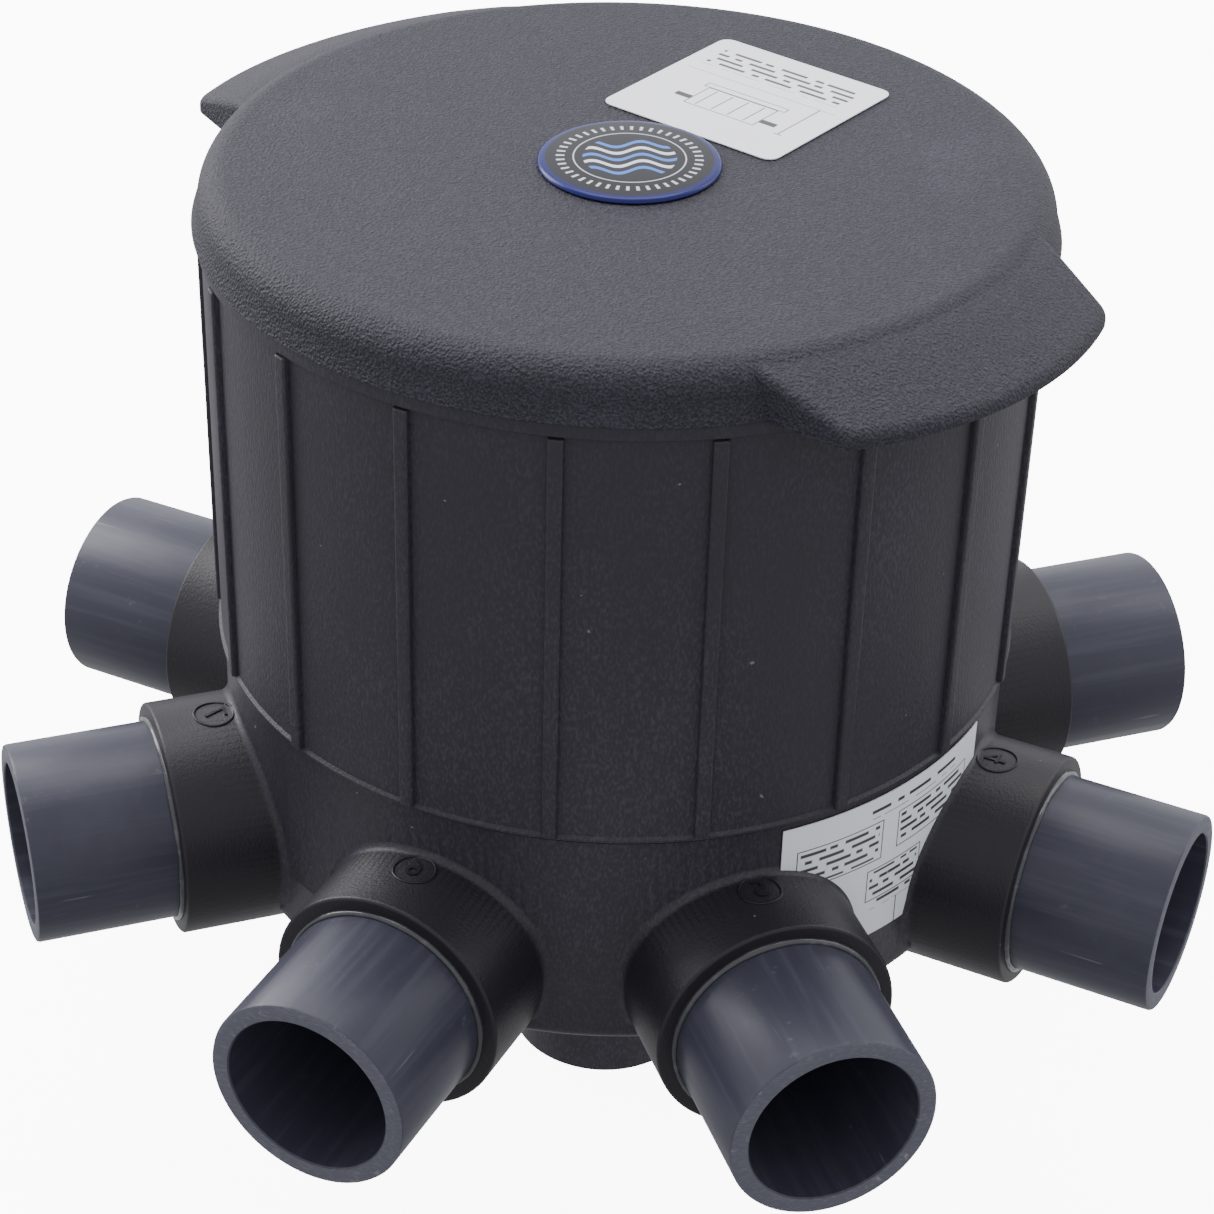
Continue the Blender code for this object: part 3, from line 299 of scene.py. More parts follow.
# ---------------------------------------------------------------- material helpers
class Look:
    """A Principled material with short calls for the nodes that the looks share."""

    def __init__(self, name, color, roughness, **sockets):
        self.material = bpy.data.materials.new(name)
        self.material.use_nodes = True
        self.nodes = self.material.node_tree.nodes
        self.links = self.material.node_tree.links
        self.shader = self.nodes["Principled BSDF"]
        self.set("Base Color", (*color, 1.0))
        self.set("Roughness", roughness)
        for socket, value in sockets.items():
            self.set(socket.replace("_", " "), value)
        self.place = self.nodes.new("ShaderNodeTexCoord").outputs["Object"]
        self.height = None

    def set(self, socket, value):
        self.shader.inputs[socket].default_value = value

    def link(self, source, target):
        self.links.new(source, target)

    def math(self, operation, a, b=0.0, c=0.0, clamp=False):
        """One Math node; a, b and c are numbers or sockets."""
        node = self.nodes.new("ShaderNodeMath")
        node.operation = operation
        node.use_clamp = clamp
        for socket, value in zip(node.inputs, (a, b, c)):
            if isinstance(value, (int, float)):
                socket.default_value = value
            else:
                self.link(value, socket)
        return node.outputs[0]

    def noise(self, scale, detail=2.0, stretch=(1.0, 1.0, 1.0), roughness=0.5):
        """Noise value from 0 to 1, in the object's own space."""
        mapping = self.nodes.new("ShaderNodeMapping")
        mapping.inputs["Scale"].default_value = stretch
        self.link(self.place, mapping.inputs["Vector"])
        node = self.nodes.new("ShaderNodeTexNoise")
        node.inputs["Scale"].default_value = scale
        node.inputs["Detail"].default_value = detail
        node.inputs["Roughness"].default_value = roughness
        self.link(mapping.outputs[0], node.inputs["Vector"])
        return node.outputs["Fac"]

    def cells(self, scale):
        """Rounded cell pattern."""
        node = self.nodes.new("ShaderNodeTexVoronoi")
        node.feature = "SMOOTH_F1"
        node.inputs["Scale"].default_value = scale
        node.inputs["Smoothness"].default_value = 0.6
        self.link(self.place, node.inputs["Vector"])
        return node.outputs["Distance"]

    def step(self, value, low, high):
        """Smooth rise from 0 to 1 between two values."""
        node = self.nodes.new("ShaderNodeMapRange")
        node.interpolation_type = "SMOOTHSTEP"
        node.inputs["From Min"].default_value = low
        node.inputs["From Max"].default_value = high
        self.link(value, node.inputs["Value"])
        return node.outputs[0]

    def paint(self, factor, color):
        """Lay a colour over what the base colour already has."""
        mix = self.nodes.new("ShaderNodeMix")
        mix.data_type = "RGBA"
        self.link(factor, mix.inputs["Factor"])
        base = self.shader.inputs["Base Color"]
        if base.is_linked:
            self.link(base.links[0].from_socket, mix.inputs["A"])
        else:
            mix.inputs["A"].default_value = base.default_value
        mix.inputs["B"].default_value = (*color, 1.0)
        self.link(mix.outputs["Result"], base)

    def vary_roughness(self, factor, low, high):
        """Roughness that follows a 0 to 1 pattern."""
        node = self.nodes.new("ShaderNodeMapRange")
        node.inputs["To Min"].default_value = low
        node.inputs["To Max"].default_value = high
        self.link(factor, node.inputs["Value"])
        self.link(node.outputs[0], self.shader.inputs["Roughness"])

    def bump(self, height, distance, strength=1.0):
        """Add one layer of relief."""
        node = self.nodes.new("ShaderNodeBump")
        node.inputs["Distance"].default_value = distance
        node.inputs["Strength"].default_value = strength
        self.link(height, node.inputs["Height"])
        if self.height is not None:
            self.link(self.height, node.inputs["Normal"])
        self.height = node.outputs[0]
        self.link(self.height, self.shader.inputs["Normal"])

    def split(self, vector):
        node = self.nodes.new("ShaderNodeSeparateXYZ")
        self.link(vector, node.inputs[0])
        return node.outputs

    def frame_at(self, centre, degrees=0.0):
        """Object space moved to a centre and turned, as x, y and z sockets."""
        node = self.nodes.new("ShaderNodeMapping")
        node.vector_type = "TEXTURE"
        node.inputs["Location"].default_value = centre
        node.inputs["Rotation"].default_value = (0.0, 0.0, math.radians(degrees))
        self.link(self.place, node.inputs["Vector"])
        return self.split(node.outputs[0])

    def distance(self, x, y):
        """Distance of (x, y) from the origin."""
        squares = self.math("ADD", self.math("MULTIPLY", x, x), self.math("MULTIPLY", y, y))
        return self.math("SQRT", squares)

    def along_outlet(self):
        """Object space turned so that x runs out along the nearest outlet."""
        x, y, z = self.split(self.place)
        reach = self.distance(x, y)
        step = 2 * math.pi / OUTLETS
        turn = self.math("DIVIDE", self.math("ARCTAN2", y, x), step)
        nearest = self.math("FLOOR", turn)
        share = self.math("SUBTRACT", self.math("SUBTRACT", turn, nearest), 0.5)
        off = self.math("MULTIPLY", share, step)
        across = self.math("MULTIPLY", reach, self.math("SINE", off))
        node = self.nodes.new("ShaderNodeCombineXYZ")
        self.link(self.math("MULTIPLY", reach, self.math("COSINE", off)), node.inputs[0])
        self.link(self.math("ADD", across, nearest), node.inputs[1])
        self.link(z, node.inputs[2])
        return node.outputs[0]

    def inside(self, value, low, high, soft=0.00008):
        """1 where a value lies between two limits."""
        rise = self.step(value, low - soft, low + soft)
        fall = self.step(value, high - soft, high + soft)
        return self.math("SUBTRACT", rise, fall, clamp=True)

    def both(self, a, b):
        return self.math("MULTIPLY", a, b)

    def either(self, a, b):
        return self.math("MAXIMUM", a, b)

    def rectangle(self, x, y, left, bottom, right, top):
        """1 inside a rectangle."""
        return self.both(self.inside(x, left, right), self.inside(y, bottom, top))

    def box_line(self, x, y, left, bottom, right, top, width=0.00035):
        """1 on the outline of a rectangle."""
        outer = self.rectangle(x, y, left, bottom, right, top)
        inner = self.rectangle(x, y, left + width, bottom + width, right - width, top - width)
        return self.math("SUBTRACT", outer, inner, clamp=True)

    def greeked(self, x, y, left, bottom, right, top, pitch):
        """Rows of short bars that stand for lines of print, with no letters in them."""
        phase = self.math("FRACT", self.math("DIVIDE", y, pitch))
        rows = self.inside(phase, 0.30, 0.72, 0.06)
        line = self.math("FLOOR", self.math("DIVIDE", y, pitch))
        along = self.math("MULTIPLY_ADD", line, 7.31, self.math("DIVIDE", x, pitch * 0.9))
        wave = self.math("SINE", self.math("MULTIPLY", along, 2.9))
        second = self.math("SINE", self.math("MULTIPLY", along, 1.13))
        words = self.step(self.math("ADD", wave, second), -0.75, -0.55)
        area = self.rectangle(x, y, left, bottom, right, top)
        return self.both(area, self.both(rows, words))


# ---------------------------------------------------------------- colours
COVER_BASE = (0.0200, 0.0180, 0.0265)
COVER_GRAIN, COVER_CLOUD = (0.043, 0.041, 0.057), (0.048, 0.046, 0.064)
BARREL_BASE, BODY_BASE = (0.0290, 0.0255, 0.0350), (0.0280, 0.0245, 0.0335)
SPECK = (0.16, 0.16, 0.17)
PIPE_BASE = (0.0425, 0.0425, 0.0640)
PIPE_CLOUD, PIPE_STREAK = (0.053, 0.053, 0.076), (0.056, 0.056, 0.080)
PIPE_SCUFF, PIPE_SCRATCH = (0.095, 0.095, 0.120), (0.125, 0.125, 0.155)
CUT_BASE, CUT_MARK, CUT_CHIP = (0.100, 0.102, 0.132), (0.145, 0.147, 0.168), (0.21, 0.21, 0.23)
CEMENT_BASE, CEMENT_CLOUD = (0.040, 0.040, 0.046), (0.075, 0.076, 0.088)
BADGE_BASE, BADGE_BLUE_RIM = (0.010, 0.010, 0.014), (0.006, 0.009, 0.115)
WAVE_WHITE, WAVE_BLUE = (0.72, 0.75, 0.84), (0.055, 0.19, 0.66)
CIRCLE_GREY, TICK_GREY = (0.55, 0.57, 0.64), (0.60, 0.62, 0.70)
COVER_LABEL, COVER_LABEL_CLOUD = (0.94, 0.945, 0.985), (0.90, 0.905, 0.95)
BODY_LABEL = (0.90, 0.905, 0.96)
COVER_LABEL_INK, BODY_LABEL_INK = (0.06, 0.06, 0.065), (0.05, 0.05, 0.055)
RUBBER_BASE, RUBBER_BLOOM = (0.012, 0.012, 0.013), (0.026, 0.026, 0.028)
ACETAL_BASE, ACETAL_CLOUD = (0.76, 0.75, 0.70), (0.70, 0.685, 0.62)
STEEL_BASE, STEEL_CLOUD = (0.62, 0.61, 0.60), (0.54, 0.53, 0.525)
INNER_BASE, INNER_FLOW = (0.040, 0.043, 0.048), (0.056, 0.059, 0.065)
FLOOR_PAPER, SKY = (0.90, 0.90, 0.905), (0.96, 0.97, 1.0, 1.0)


# ---------------------------------------------------------------- looks
def cover_look():
    """Dark grey cover with a fine pebble grain."""
    look = Look("cover_plastic", COVER_BASE, 0.62, Specular_IOR_Level=0.27)
    grain = look.noise(1500.0, 2.0)
    pebbles = look.cells(1150.0)
    look.paint(look.step(grain, 0.42, 0.64), COVER_GRAIN)
    clouds = look.step(look.noise(28.0, 3.0), 0.55, 0.85)
    look.paint(look.both(clouds, look.step(grain, 0.3, 0.7)), COVER_CLOUD)
    look.vary_roughness(grain, 0.44, 0.72)
    look.bump(pebbles, 0.00042, 0.9)
    look.bump(grain, 0.00042, 0.9)
    return look.material


def body_look(name, base, roughness_low, roughness_high, fibre, collar_painted_shade=None):
    """Black moulded plastic: faint fibres, flow marks and a few specks; collars can get painted
    shade, a darker copy of the colour.
    """
    look = Look(name, base, 0.42, Specular_IOR_Level=0.35)
    fibres = look.noise(1300.0, 3.0, (1.0, 1.0, 0.45))
    flow = look.noise(14.0, 4.0, (1.0, 1.0, 0.6), 0.6)
    light = [2.0 * value for value in base]
    look.paint(look.step(flow, 0.50, 0.80), [1.25 * value for value in base])
    look.paint(look.both(look.step(fibres, 0.42, 0.72), look.step(flow, 0.25, 0.70)), light)
    # Painted shade: the collars get a darker copy of the plastic's colour, standing in for the
    # shade they sit in.
    if collar_painted_shade:
        x, y, _ = look.split(look.place)
        collars = look.step(look.distance(x, y), WALL_RADIUS + 0.0008, WALL_RADIUS + 0.0030)
        look.paint(collars, [collar_painted_shade * value for value in base])
    specks = look.step(look.noise(520.0, 0.0), 0.895, 0.905)
    look.paint(specks, SPECK)
    look.vary_roughness(flow, roughness_low, roughness_high)
    look.bump(fibres, 0.00020, fibre)
    look.bump(look.noise(60.0, 2.0), 0.0004, 0.10)
    return look.material


def pipe_look():
    """Grey extruded pipe: streaks along it, scuffs and faint hairline scratches."""
    look = Look("pipe_plastic", PIPE_BASE, 0.34, Specular_IOR_Level=0.32)
    straight = look.place
    look.place = look.along_outlet()
    streaks = look.noise(330.0, 3.0, (0.045, 1.0, 1.0), 0.6)
    scratches = look.step(look.noise(650.0, 1.0, (0.030, 1.0, 1.0)), 0.70, 0.80)
    look.place = straight
    clouds = look.noise(34.0, 4.0, roughness=0.65)
    scuffs = look.step(look.noise(210.0, 5.0, roughness=0.72), 0.58, 0.74)
    scuffed = look.step(look.noise(45.0, 1.0), 0.48, 0.66)
    scratched = look.step(look.noise(70.0, 1.0), 0.50, 0.66)
    look.paint(look.step(clouds, 0.48, 0.75), PIPE_CLOUD)
    look.paint(look.step(streaks, 0.46, 0.70), PIPE_STREAK)
    look.paint(look.both(scuffs, scuffed), PIPE_SCUFF)
    look.paint(look.both(scratches, scratched), PIPE_SCRATCH)
    look.vary_roughness(streaks, 0.22, 0.50)
    look.bump(streaks, 0.00016, 0.35)
    look.bump(look.noise(240.0, 3.0), 0.0003, 0.10)
    return look.material


def cut_look():
    """Sawn pipe end: paler, with fine saw marks."""
    look = Look("pipe_cut", CUT_BASE, 0.55, Specular_IOR_Level=0.3)
    marks = look.noise(500.0, 2.0, (1.0, 1.0, 4.0))
    look.paint(look.step(marks, 0.45, 0.75), CUT_MARK)
    look.paint(look.step(look.noise(300.0, 3.0), 0.66, 0.74), CUT_CHIP)
    look.bump(marks, 0.00012, 0.6)
    return look.material


def cement_look():
    """Squeezed-out pipe cement, glossy and uneven."""
    look = Look("pipe_cement", CEMENT_BASE, 0.16, Coat_Weight=0.3)
    look.vary_roughness(look.noise(250.0, 3.0), 0.10, 0.30)
    look.paint(look.step(look.noise(180.0, 2.0), 0.55, 0.75), CEMENT_CLOUD)
    look.bump(look.noise(300.0, 3.0), 0.0005, 0.5)
    return look.material


BADGE_CIRCLE = (0.0156, 0.0160)   # inner and outer radius of the thin circle
BADGE_TICKS = (0.0183, 0.0207)    # and of the ticks
TICKS = 44
WAVES_WITHIN = 0.0132             # the waves fill a circle of this radius
WAVE_PITCH = 0.0042
WAVE_HALF = 0.00085
WAVE_SWELL = 0.0019
WAVE_RATE = 440.0                 # radians of a wave per metre


def badge_look():
    """Domed emblem: dark disc, blue rim, a ring of ticks, a thin circle and five plain waves."""
    look = Look("badge_plastic", BADGE_BASE, 0.24, Specular_IOR_Level=0.30)
    x, y, _ = look.frame_at((BADGE_CENTRE.x, BADGE_CENTRE.y, 0.0), BADGE_TURN)
    radius = look.distance(x, y)
    outside = look.step(radius, WAVES_WITHIN - 0.0001, WAVES_WITHIN + 0.0001)
    within = look.math("SUBTRACT", 1.0, outside)
    wave = look.math("SINE", look.math("MULTIPLY", x, WAVE_RATE))
    height = look.math("SUBTRACT", y, look.math("MULTIPLY", wave, WAVE_SWELL))
    for i, color in enumerate((WAVE_BLUE, WAVE_WHITE, WAVE_BLUE, WAVE_WHITE, WAVE_BLUE)):
        middle = WAVE_PITCH * (2 - i)
        band = look.both(look.inside(height, middle - WAVE_HALF, middle + WAVE_HALF), within)
        look.paint(band, color)
    look.paint(look.inside(radius, *BADGE_CIRCLE), CIRCLE_GREY)
    around = look.math("MULTIPLY", look.math("ARCTAN2", y, x), TICKS / (2 * math.pi))
    ticks = look.inside(look.math("FRACT", around), 0.34, 0.66, 0.04)
    look.paint(look.both(ticks, look.inside(radius, *BADGE_TICKS)), TICK_GREY)
    look.paint(look.step(radius, BADGE_RIM, BADGE_RIM + 0.0009), BADGE_BLUE_RIM)
    look.vary_roughness(look.noise(90.0, 2.0), 0.18, 0.30)
    look.bump(look.noise(120.0, 2.0), 0.0002, 0.05)
    return look.material


# Print on the square label: each is (left, bottom, right, top) from its centre.
PRINT_LINE = (-0.0265, 0.0062, 0.0265, 0.0064)
DRAWN_CANISTER = (-0.0125, -0.0150, 0.0125, -0.0020)
DRAWN_COVER = (-0.0145, -0.0020, 0.0145, 0.0008)
DRAWN_OUTLETS = ((-0.0180, -0.0122, -0.0125, -0.0098), (0.0125, -0.0122, 0.0180, -0.0098))
DRAWN_RIBS = tuple((-0.0090 + 0.0057 * i, -0.0140, -0.0086 + 0.0057 * i, -0.0030) for i in range(4))
DRAWN_DEPTH = ((0.0212, -0.0150, 0.0216, 0.0063), (0.0200, -0.0153, 0.0228, -0.0149))
PRINT_ROWS = (-0.0250, 0.0110, 0.0240, 0.0240)


def label_print(look, x, y):
    """Plain drawing of a standing valve under rows of bars."""
    ink = look.rectangle(x, y, *PRINT_LINE)
    for outline in (DRAWN_CANISTER, DRAWN_COVER):
        ink = look.either(ink, look.box_line(x, y, *outline))
    for area in (*DRAWN_OUTLETS, *DRAWN_RIBS, *DRAWN_DEPTH):
        ink = look.either(ink, look.rectangle(x, y, *area))
    return look.either(ink, look.greeked(x, y, *PRINT_ROWS, 0.0030))


def cover_label_look():
    """White film with a plain drawing and bars for its lines of print."""
    look = Look("cover_label_film", COVER_LABEL, 0.38)
    x, y, _ = look.frame_at((LABEL_CENTRE.x, LABEL_CENTRE.y, 0.0), LABEL_TURN)
    look.paint(look.step(look.noise(35.0, 3.0), 0.5, 0.8), COVER_LABEL_CLOUD)
    look.paint(label_print(look, x, y), COVER_LABEL_INK)
    look.bump(look.noise(900.0, 2.0), 0.00006, 0.25)
    look.bump(look.noise(60.0, 2.0), 0.0004, 0.08)
    return look.material


# Print on the wrapped label, in the same order, along and up the wall from its middle.
WRAP_DIRECTION = -43.0
WRAP_HEIGHT = 0.1300
WRAP_HEADING = (-0.0120, 0.0268, 0.0260, 0.0300)
WRAP_BOXES = ((-0.0375, 0.0110, -0.0070, 0.0250), (-0.0010, 0.0120, 0.0330, 0.0250),
              (-0.0120, -0.0035, 0.0105, 0.0080))
WRAP_NOTE = (-0.0100, -0.0070, 0.0100, -0.0040)
WRAP_LINE = (0.0008, -0.0165, 0.0012, -0.0070)


def body_label_look():
    """White film wrapped on the wall, with ruled boxes and bars for its lines of print."""
    look = Look("body_label_film", BODY_LABEL, 0.34)
    x, y, z = look.split(look.place)
    around = look.math("MULTIPLY", look.math("ARCTAN2", y, x), WALL_RADIUS)
    along = look.math("SUBTRACT", around, math.radians(WRAP_DIRECTION) * WALL_RADIUS)
    up = look.math("SUBTRACT", z, WRAP_HEIGHT)
    ink = look.greeked(along, up, *WRAP_HEADING, 0.0031)
    for left, bottom, right, top in WRAP_BOXES:
        rows = (left + 0.0012, bottom + 0.0010, right - 0.0015, top - 0.0010)
        ink = look.either(ink, look.box_line(along, up, left, bottom, right, top))
        ink = look.either(ink, look.greeked(along, up, *rows, 0.0027))
    ink = look.either(ink, look.greeked(along, up, *WRAP_NOTE, 0.0030))
    ink = look.either(ink, look.rectangle(along, up, *WRAP_LINE))
    look.paint(ink, BODY_LABEL_INK)
    look.bump(look.noise(900.0, 2.0), 0.00006, 0.25)
    return look.material


def rubber_look():
    """Black seal rubber with a dusty bloom."""
    look = Look("seal_rubber", RUBBER_BASE, 0.72)
    look.paint(look.step(look.noise(70.0, 4.0), 0.45, 0.8), RUBBER_BLOOM)
    look.vary_roughness(look.noise(40.0, 3.0), 0.62, 0.85)
    look.bump(look.noise(800.0, 2.0), 0.0001, 0.4)
    return look.material


def acetal_look():
    """Natural white acetal with faint machining variation."""
    look = Look("gear_acetal", ACETAL_BASE, 0.34, Subsurface_Weight=0.08)
    look.paint(look.step(look.noise(45.0, 3.0), 0.45, 0.8), ACETAL_CLOUD)
    look.vary_roughness(look.noise(200.0, 2.0), 0.28, 0.44)
    look.bump(look.noise(500.0, 2.0), 0.0001, 0.3)
    return look.material


def steel_look():
    """Turned stainless steel."""
    look = Look("stainless_steel", STEEL_BASE, 0.25, Metallic=1.0)
    rings = look.noise(900.0, 2.0, (0.15, 0.15, 1.0))
    look.vary_roughness(rings, 0.16, 0.36)
    look.paint(look.step(look.noise(120.0, 3.0), 0.5, 0.8), STEEL_CLOUD)
    look.bump(rings, 0.00005, 0.4)
    return look.material


def inner_look():
    """Dark grey moulded plastic of the inner pieces."""
    look = Look("inner_plastic", INNER_BASE, 0.45)
    flow = look.noise(22.0, 4.0)
    look.paint(look.step(flow, 0.5, 0.8), INNER_FLOW)
    look.vary_roughness(flow, 0.36, 0.56)
    look.bump(look.noise(700.0, 2.0), 0.00012, 0.35)
    return look.material


# ---------------------------------------------------------------- lower body
def passage_outline(reach):
    """Plan of the eight boxed passages, which meet side by side near the middle."""
    half = PASSAGE_WIDTH / 2
    meeting = half / math.sin(math.radians(OUTLET_STEP / 2))
    outline = []
    for number in range(OUTLETS, 0, -1):
        angle = outlet_angle(number)
        turn = Matrix.Rotation(math.radians(angle), 2)
        outline += [turn @ Vector((reach, -half)), turn @ Vector((reach, half)),
                    polar(meeting, angle + OUTLET_STEP / 2)]
    return outline


def collar_fillet(degrees):
    """Concave strip that rounds the corner between a collar and the wall."""
    turn = Matrix.Rotation(math.radians(degrees), 4, "Z")
    first, last = FILLET_SWEEP
    steps, arc_steps = 64, 6
    sunk, root = 0.0001, 0.0015   # depths of the strip's edges and of its back in the plastic
    bm = bmesh.new()
    rows = []
    for i in range(steps + 1):
        around = math.radians(first + (last - first) * i / steps)
        section = []
        for j in range(arc_steps + 1):
            sweep = math.radians(90.0 * j / arc_steps)
            r = COLLAR_RADIUS - sunk + FILLET_SIZE * (1 - math.sin(sweep))
            wall = math.sqrt(WALL_RADIUS ** 2 - (r * math.cos(around)) ** 2)
            section.append((r, wall - sunk + FILLET_SIZE * (1 - math.cos(sweep))))
        section.append((COLLAR_RADIUS - root, section[0][1] - root))
        across, up = math.cos(around), math.sin(around)
        points = [Vector((x, r * across, OUTLET_HEIGHT + r * up)) for r, x in section]
        rows.append([bm.verts.new(turn @ point) for point in points])
    for left, right in zip(rows, rows[1:]):
        for i in range(len(left)):
            j = (i + 1) % len(left)
            bm.faces.new((left[i], left[j], right[j], right[i]))
    bm.faces.new(rows[0])
    bm.faces.new(rows[-1])
    bmesh.ops.triangulate(bm, faces=bm.faces)
    return from_bmesh(bm)


def lower_body(look):
    """Bowl, spigot, collars and passages, with rounded edges."""
    floor_edge = (WALL_RADIUS - FLOOR_ROUND, FLOOR_BOTTOM + FLOOR_ROUND)
    wall = [
        (0.0, FLOOR_BOTTOM), (WALL_RADIUS - 0.0042, FLOOR_BOTTOM),
        *quarter(floor_edge, FLOOR_ROUND, 280.0, 350.0, 6),
        (WALL_RADIUS, FLOOR_BOTTOM + 0.0046), (WALL_RADIUS, PARTING_HEIGHT - PARTING_HALF),
        (WALL_RADIUS + PARTING_PROUD, PARTING_HEIGHT), (WALL_RADIUS, PARTING_HEIGHT + PARTING_HALF),
        (WALL_RADIUS, WALL_TOP), (RIM_BORE, WALL_TOP), (RIM_BORE, DECK_HEIGHT),
        (LEDGE_RADIUS, DECK_HEIGHT), (LEDGE_RADIUS, FLOOR_TOP), (0.0, FLOOR_TOP),
    ]
    shape = lathe(wall, 216, start=0.7)
    spigot = [(0.0, 0.0), (PIPE_RADIUS - MOULD_EDGE, 0.0), (PIPE_RADIUS, MOULD_EDGE),
              (PIPE_RADIUS, DECK_HEIGHT), (0.0, DECK_HEIGHT)]
    block_top = DECK_HEIGHT - 0.0002
    middle = [circle(PASSAGE_START, 48)]
    drafted = passage_outline(PASSAGE_END - PASSAGE_DRAFT)
    solids = [
        lathe(spigot, 72),
        prism(passage_outline(PASSAGE_END), FLOOR_BOTTOM + 0.001, block_top, middle),
        prism(drafted, PASSAGE_BOTTOM, block_top - 0.001, middle),
    ]
    clear = 0.01                  # how far the cutting shapes run past the surfaces
    hollows = [upright((0.0, 0.0), -clear, DECK_HEIGHT + clear, BORE_RADIUS, 72)]
    collar_edge = (COLLAR_RADIUS - MOULD_EDGE, COLLAR_END - MOULD_EDGE)
    collar = [(0.0, COLLAR_START), (COLLAR_RADIUS, COLLAR_START),
              *quarter(collar_edge, MOULD_EDGE, 0.0, 90.0, 4), (0.0, COLLAR_END)]
    socket = [(0.0, SOCKET_STOP), (PIPE_RADIUS + GAP, SOCKET_STOP),
              (PIPE_RADIUS + GAP, COLLAR_END + clear), (0.0, COLLAR_END + clear)]
    passage = [(0.0, PASSAGE_BORE_START), (BORE_RADIUS, PASSAGE_BORE_START),
               (BORE_RADIUS, SOCKET_STOP + 0.002), (0.0, SOCKET_STOP + 0.002)]
    for number in range(1, OUTLETS + 1):
        angle = outlet_angle(number)
        well = polar(WELL_CIRCLE, angle)
        solids += [radial_lathe(angle, collar, 96), collar_fillet(angle)]
        hollows += [radial_lathe(angle, socket, 96), radial_lathe(angle, passage, 48),
                    upright(well, WELL_BOTTOM, DECK_HEIGHT + clear, WELL_BORE, 48)]
    combine(shape, solids, "UNION")
    combine(shape, hollows, "DIFFERENCE")
    return dress(shape, "lower_body_shell", "valve_body", look, ["lower_body"])


def on_collar(number, across, along, raise_by):
    """Point on a collar's top: across and along the collar, above its surface."""
    around = across / COLLAR_RADIUS
    radius = COLLAR_RADIUS + raise_by
    side, top = -radius * math.sin(around), OUTLET_HEIGHT + radius * math.cos(around)
    turn = Matrix.Rotation(math.radians(outlet_angle(number)), 3, "Z")
    return turn @ Vector((NUMBER_PLACE - along, side, top))


def cast_number(number, look):
    """Raised outlet number in a ring, made flat and 1 high and then wrapped on its collar."""
    text = bpy.data.curves.new("digit", "FONT")
    text.body = str(number)
    text.size = NUMBER_SIZE
    text.align_x = "CENTER"
    text.align_y = "CENTER"
    text.extrude = 0.5
    text.resolution_u = 3
    holder = bpy.data.objects.new("digit", text)
    bpy.context.collection.objects.link(holder)
    graph = bpy.context.evaluated_depsgraph_get()
    mesh = bpy.data.meshes.new_from_object(holder.evaluated_get(graph))
    bpy.data.objects.remove(holder, do_unlink=True)
    bm = bmesh.new()
    bm.from_mesh(mesh)
    bmesh.ops.remove_doubles(bm, verts=bm.verts, dist=1e-6)
    sides = 48
    foot, crest = 0.00035, 0.00015
    section = [(-foot, -0.5), (-foot, 0.35), (-crest, 0.5),
               (crest, 0.5), (foot, 0.35), (foot, -0.5)]
    ring = []
    for i in range(sides):
        angle = 360.0 * i / sides
        ring.append([bm.verts.new((*polar(NUMBER_RING + r, angle), h)) for r, h in section])
    for left, right in zip(ring, ring[1:] + ring[:1]):
        for i in range(len(section)):
            j = (i + 1) % len(section)
            bm.faces.new((left[i], right[i], right[j], left[j]))
    for vert in bm.verts:
        vert.co = on_collar(number, vert.co.x, vert.co.y, vert.co.z * 2 * NUMBER_RAISED)
    shape = from_bmesh(bm)
    return dress(shape, f"cast_number_{number}", "valve_body", look)


# ---------------------------------------------------------------- pipes
def pipe_stub(number, look, cut):
    """Cut length of pipe with eased edges and a sawn end."""
    start = SOCKET_STOP + GAP
    outer_ease, inner_ease = 0.0009, 0.0004
    profile = [
        (BORE_RADIUS, start), (PIPE_RADIUS, start), (PIPE_RADIUS, COLLAR_END + 0.004),
        (PIPE_RADIUS, PIPE_END - outer_ease),
        (PIPE_RADIUS - 0.35 * outer_ease, PIPE_END - 0.25 * outer_ease),
        (PIPE_RADIUS - outer_ease, PIPE_END), (BORE_RADIUS + inner_ease, PIPE_END),
        (BORE_RADIUS, PIPE_END - inner_ease),
    ]
    shape = radial_lathe(outlet_angle(number), profile, 120)
    stub = [f"pipe_stub_{number}"]
    dress(shape, f"pipe_{number}", "valve_body", look, stub, angle=40.0)
    shape.data.materials.append(cut)
    out = Vector((*polar(1.0, outlet_angle(number)), 0.0))
    for face in shape.data.polygons:
        if face.normal.dot(out) > 0.9:
            face.material_index = 1
    return shape


def cement_bead(number, look):
    """Uneven bead of cement where the pipe enters its collar."""
    sides, around = 144, 10
    bead, swell, ripple = 0.00125, 0.00055, 0.00018
    columns = []
    for i in range(sides):
        phi = 2 * math.pi * i / sides
        drift = Vector((math.cos(phi), math.sin(phi), number * 3.1))
        size = bead + swell * noise.noise(drift * 2.2) + ripple * noise.noise(drift * 9.0)
        centre = Vector((PIPE_RADIUS + 0.0003, COLLAR_END + 0.0001))
        turns = [2 * math.pi * j / around for j in range(around)]
        section = [centre + Vector((0.9 * size * math.cos(t), size * math.sin(t))) for t in turns]
        columns.append([(r * math.cos(phi), r * math.sin(phi), s) for r, s in section])
    shape = lay_along(skin(columns), outlet_angle(number))
    return dress(shape, f"cement_bead_{number}", "valve_body", look, angle=80.0)


# ---------------------------------------------------------------- barrel
def rib_rise(degrees):
    """How far the nearest rib stands out of the barrel's wall in a direction."""
    step = 360.0 / RIBS
    off = (degrees - RIB_FIRST + step / 2) % step - step / 2
    across = abs(math.radians(off)) * BARREL_RADIUS
    beyond = across - (RIB_HALF_WIDTH - RIB_ROUND)
    if beyond <= 0.0:
        return RIB_PROUD
    if beyond >= RIB_ROUND:
        return 0.0
    return RIB_PROUD - RIB_ROUND * (1 - math.sqrt(1 - (beyond / RIB_ROUND) ** 2))


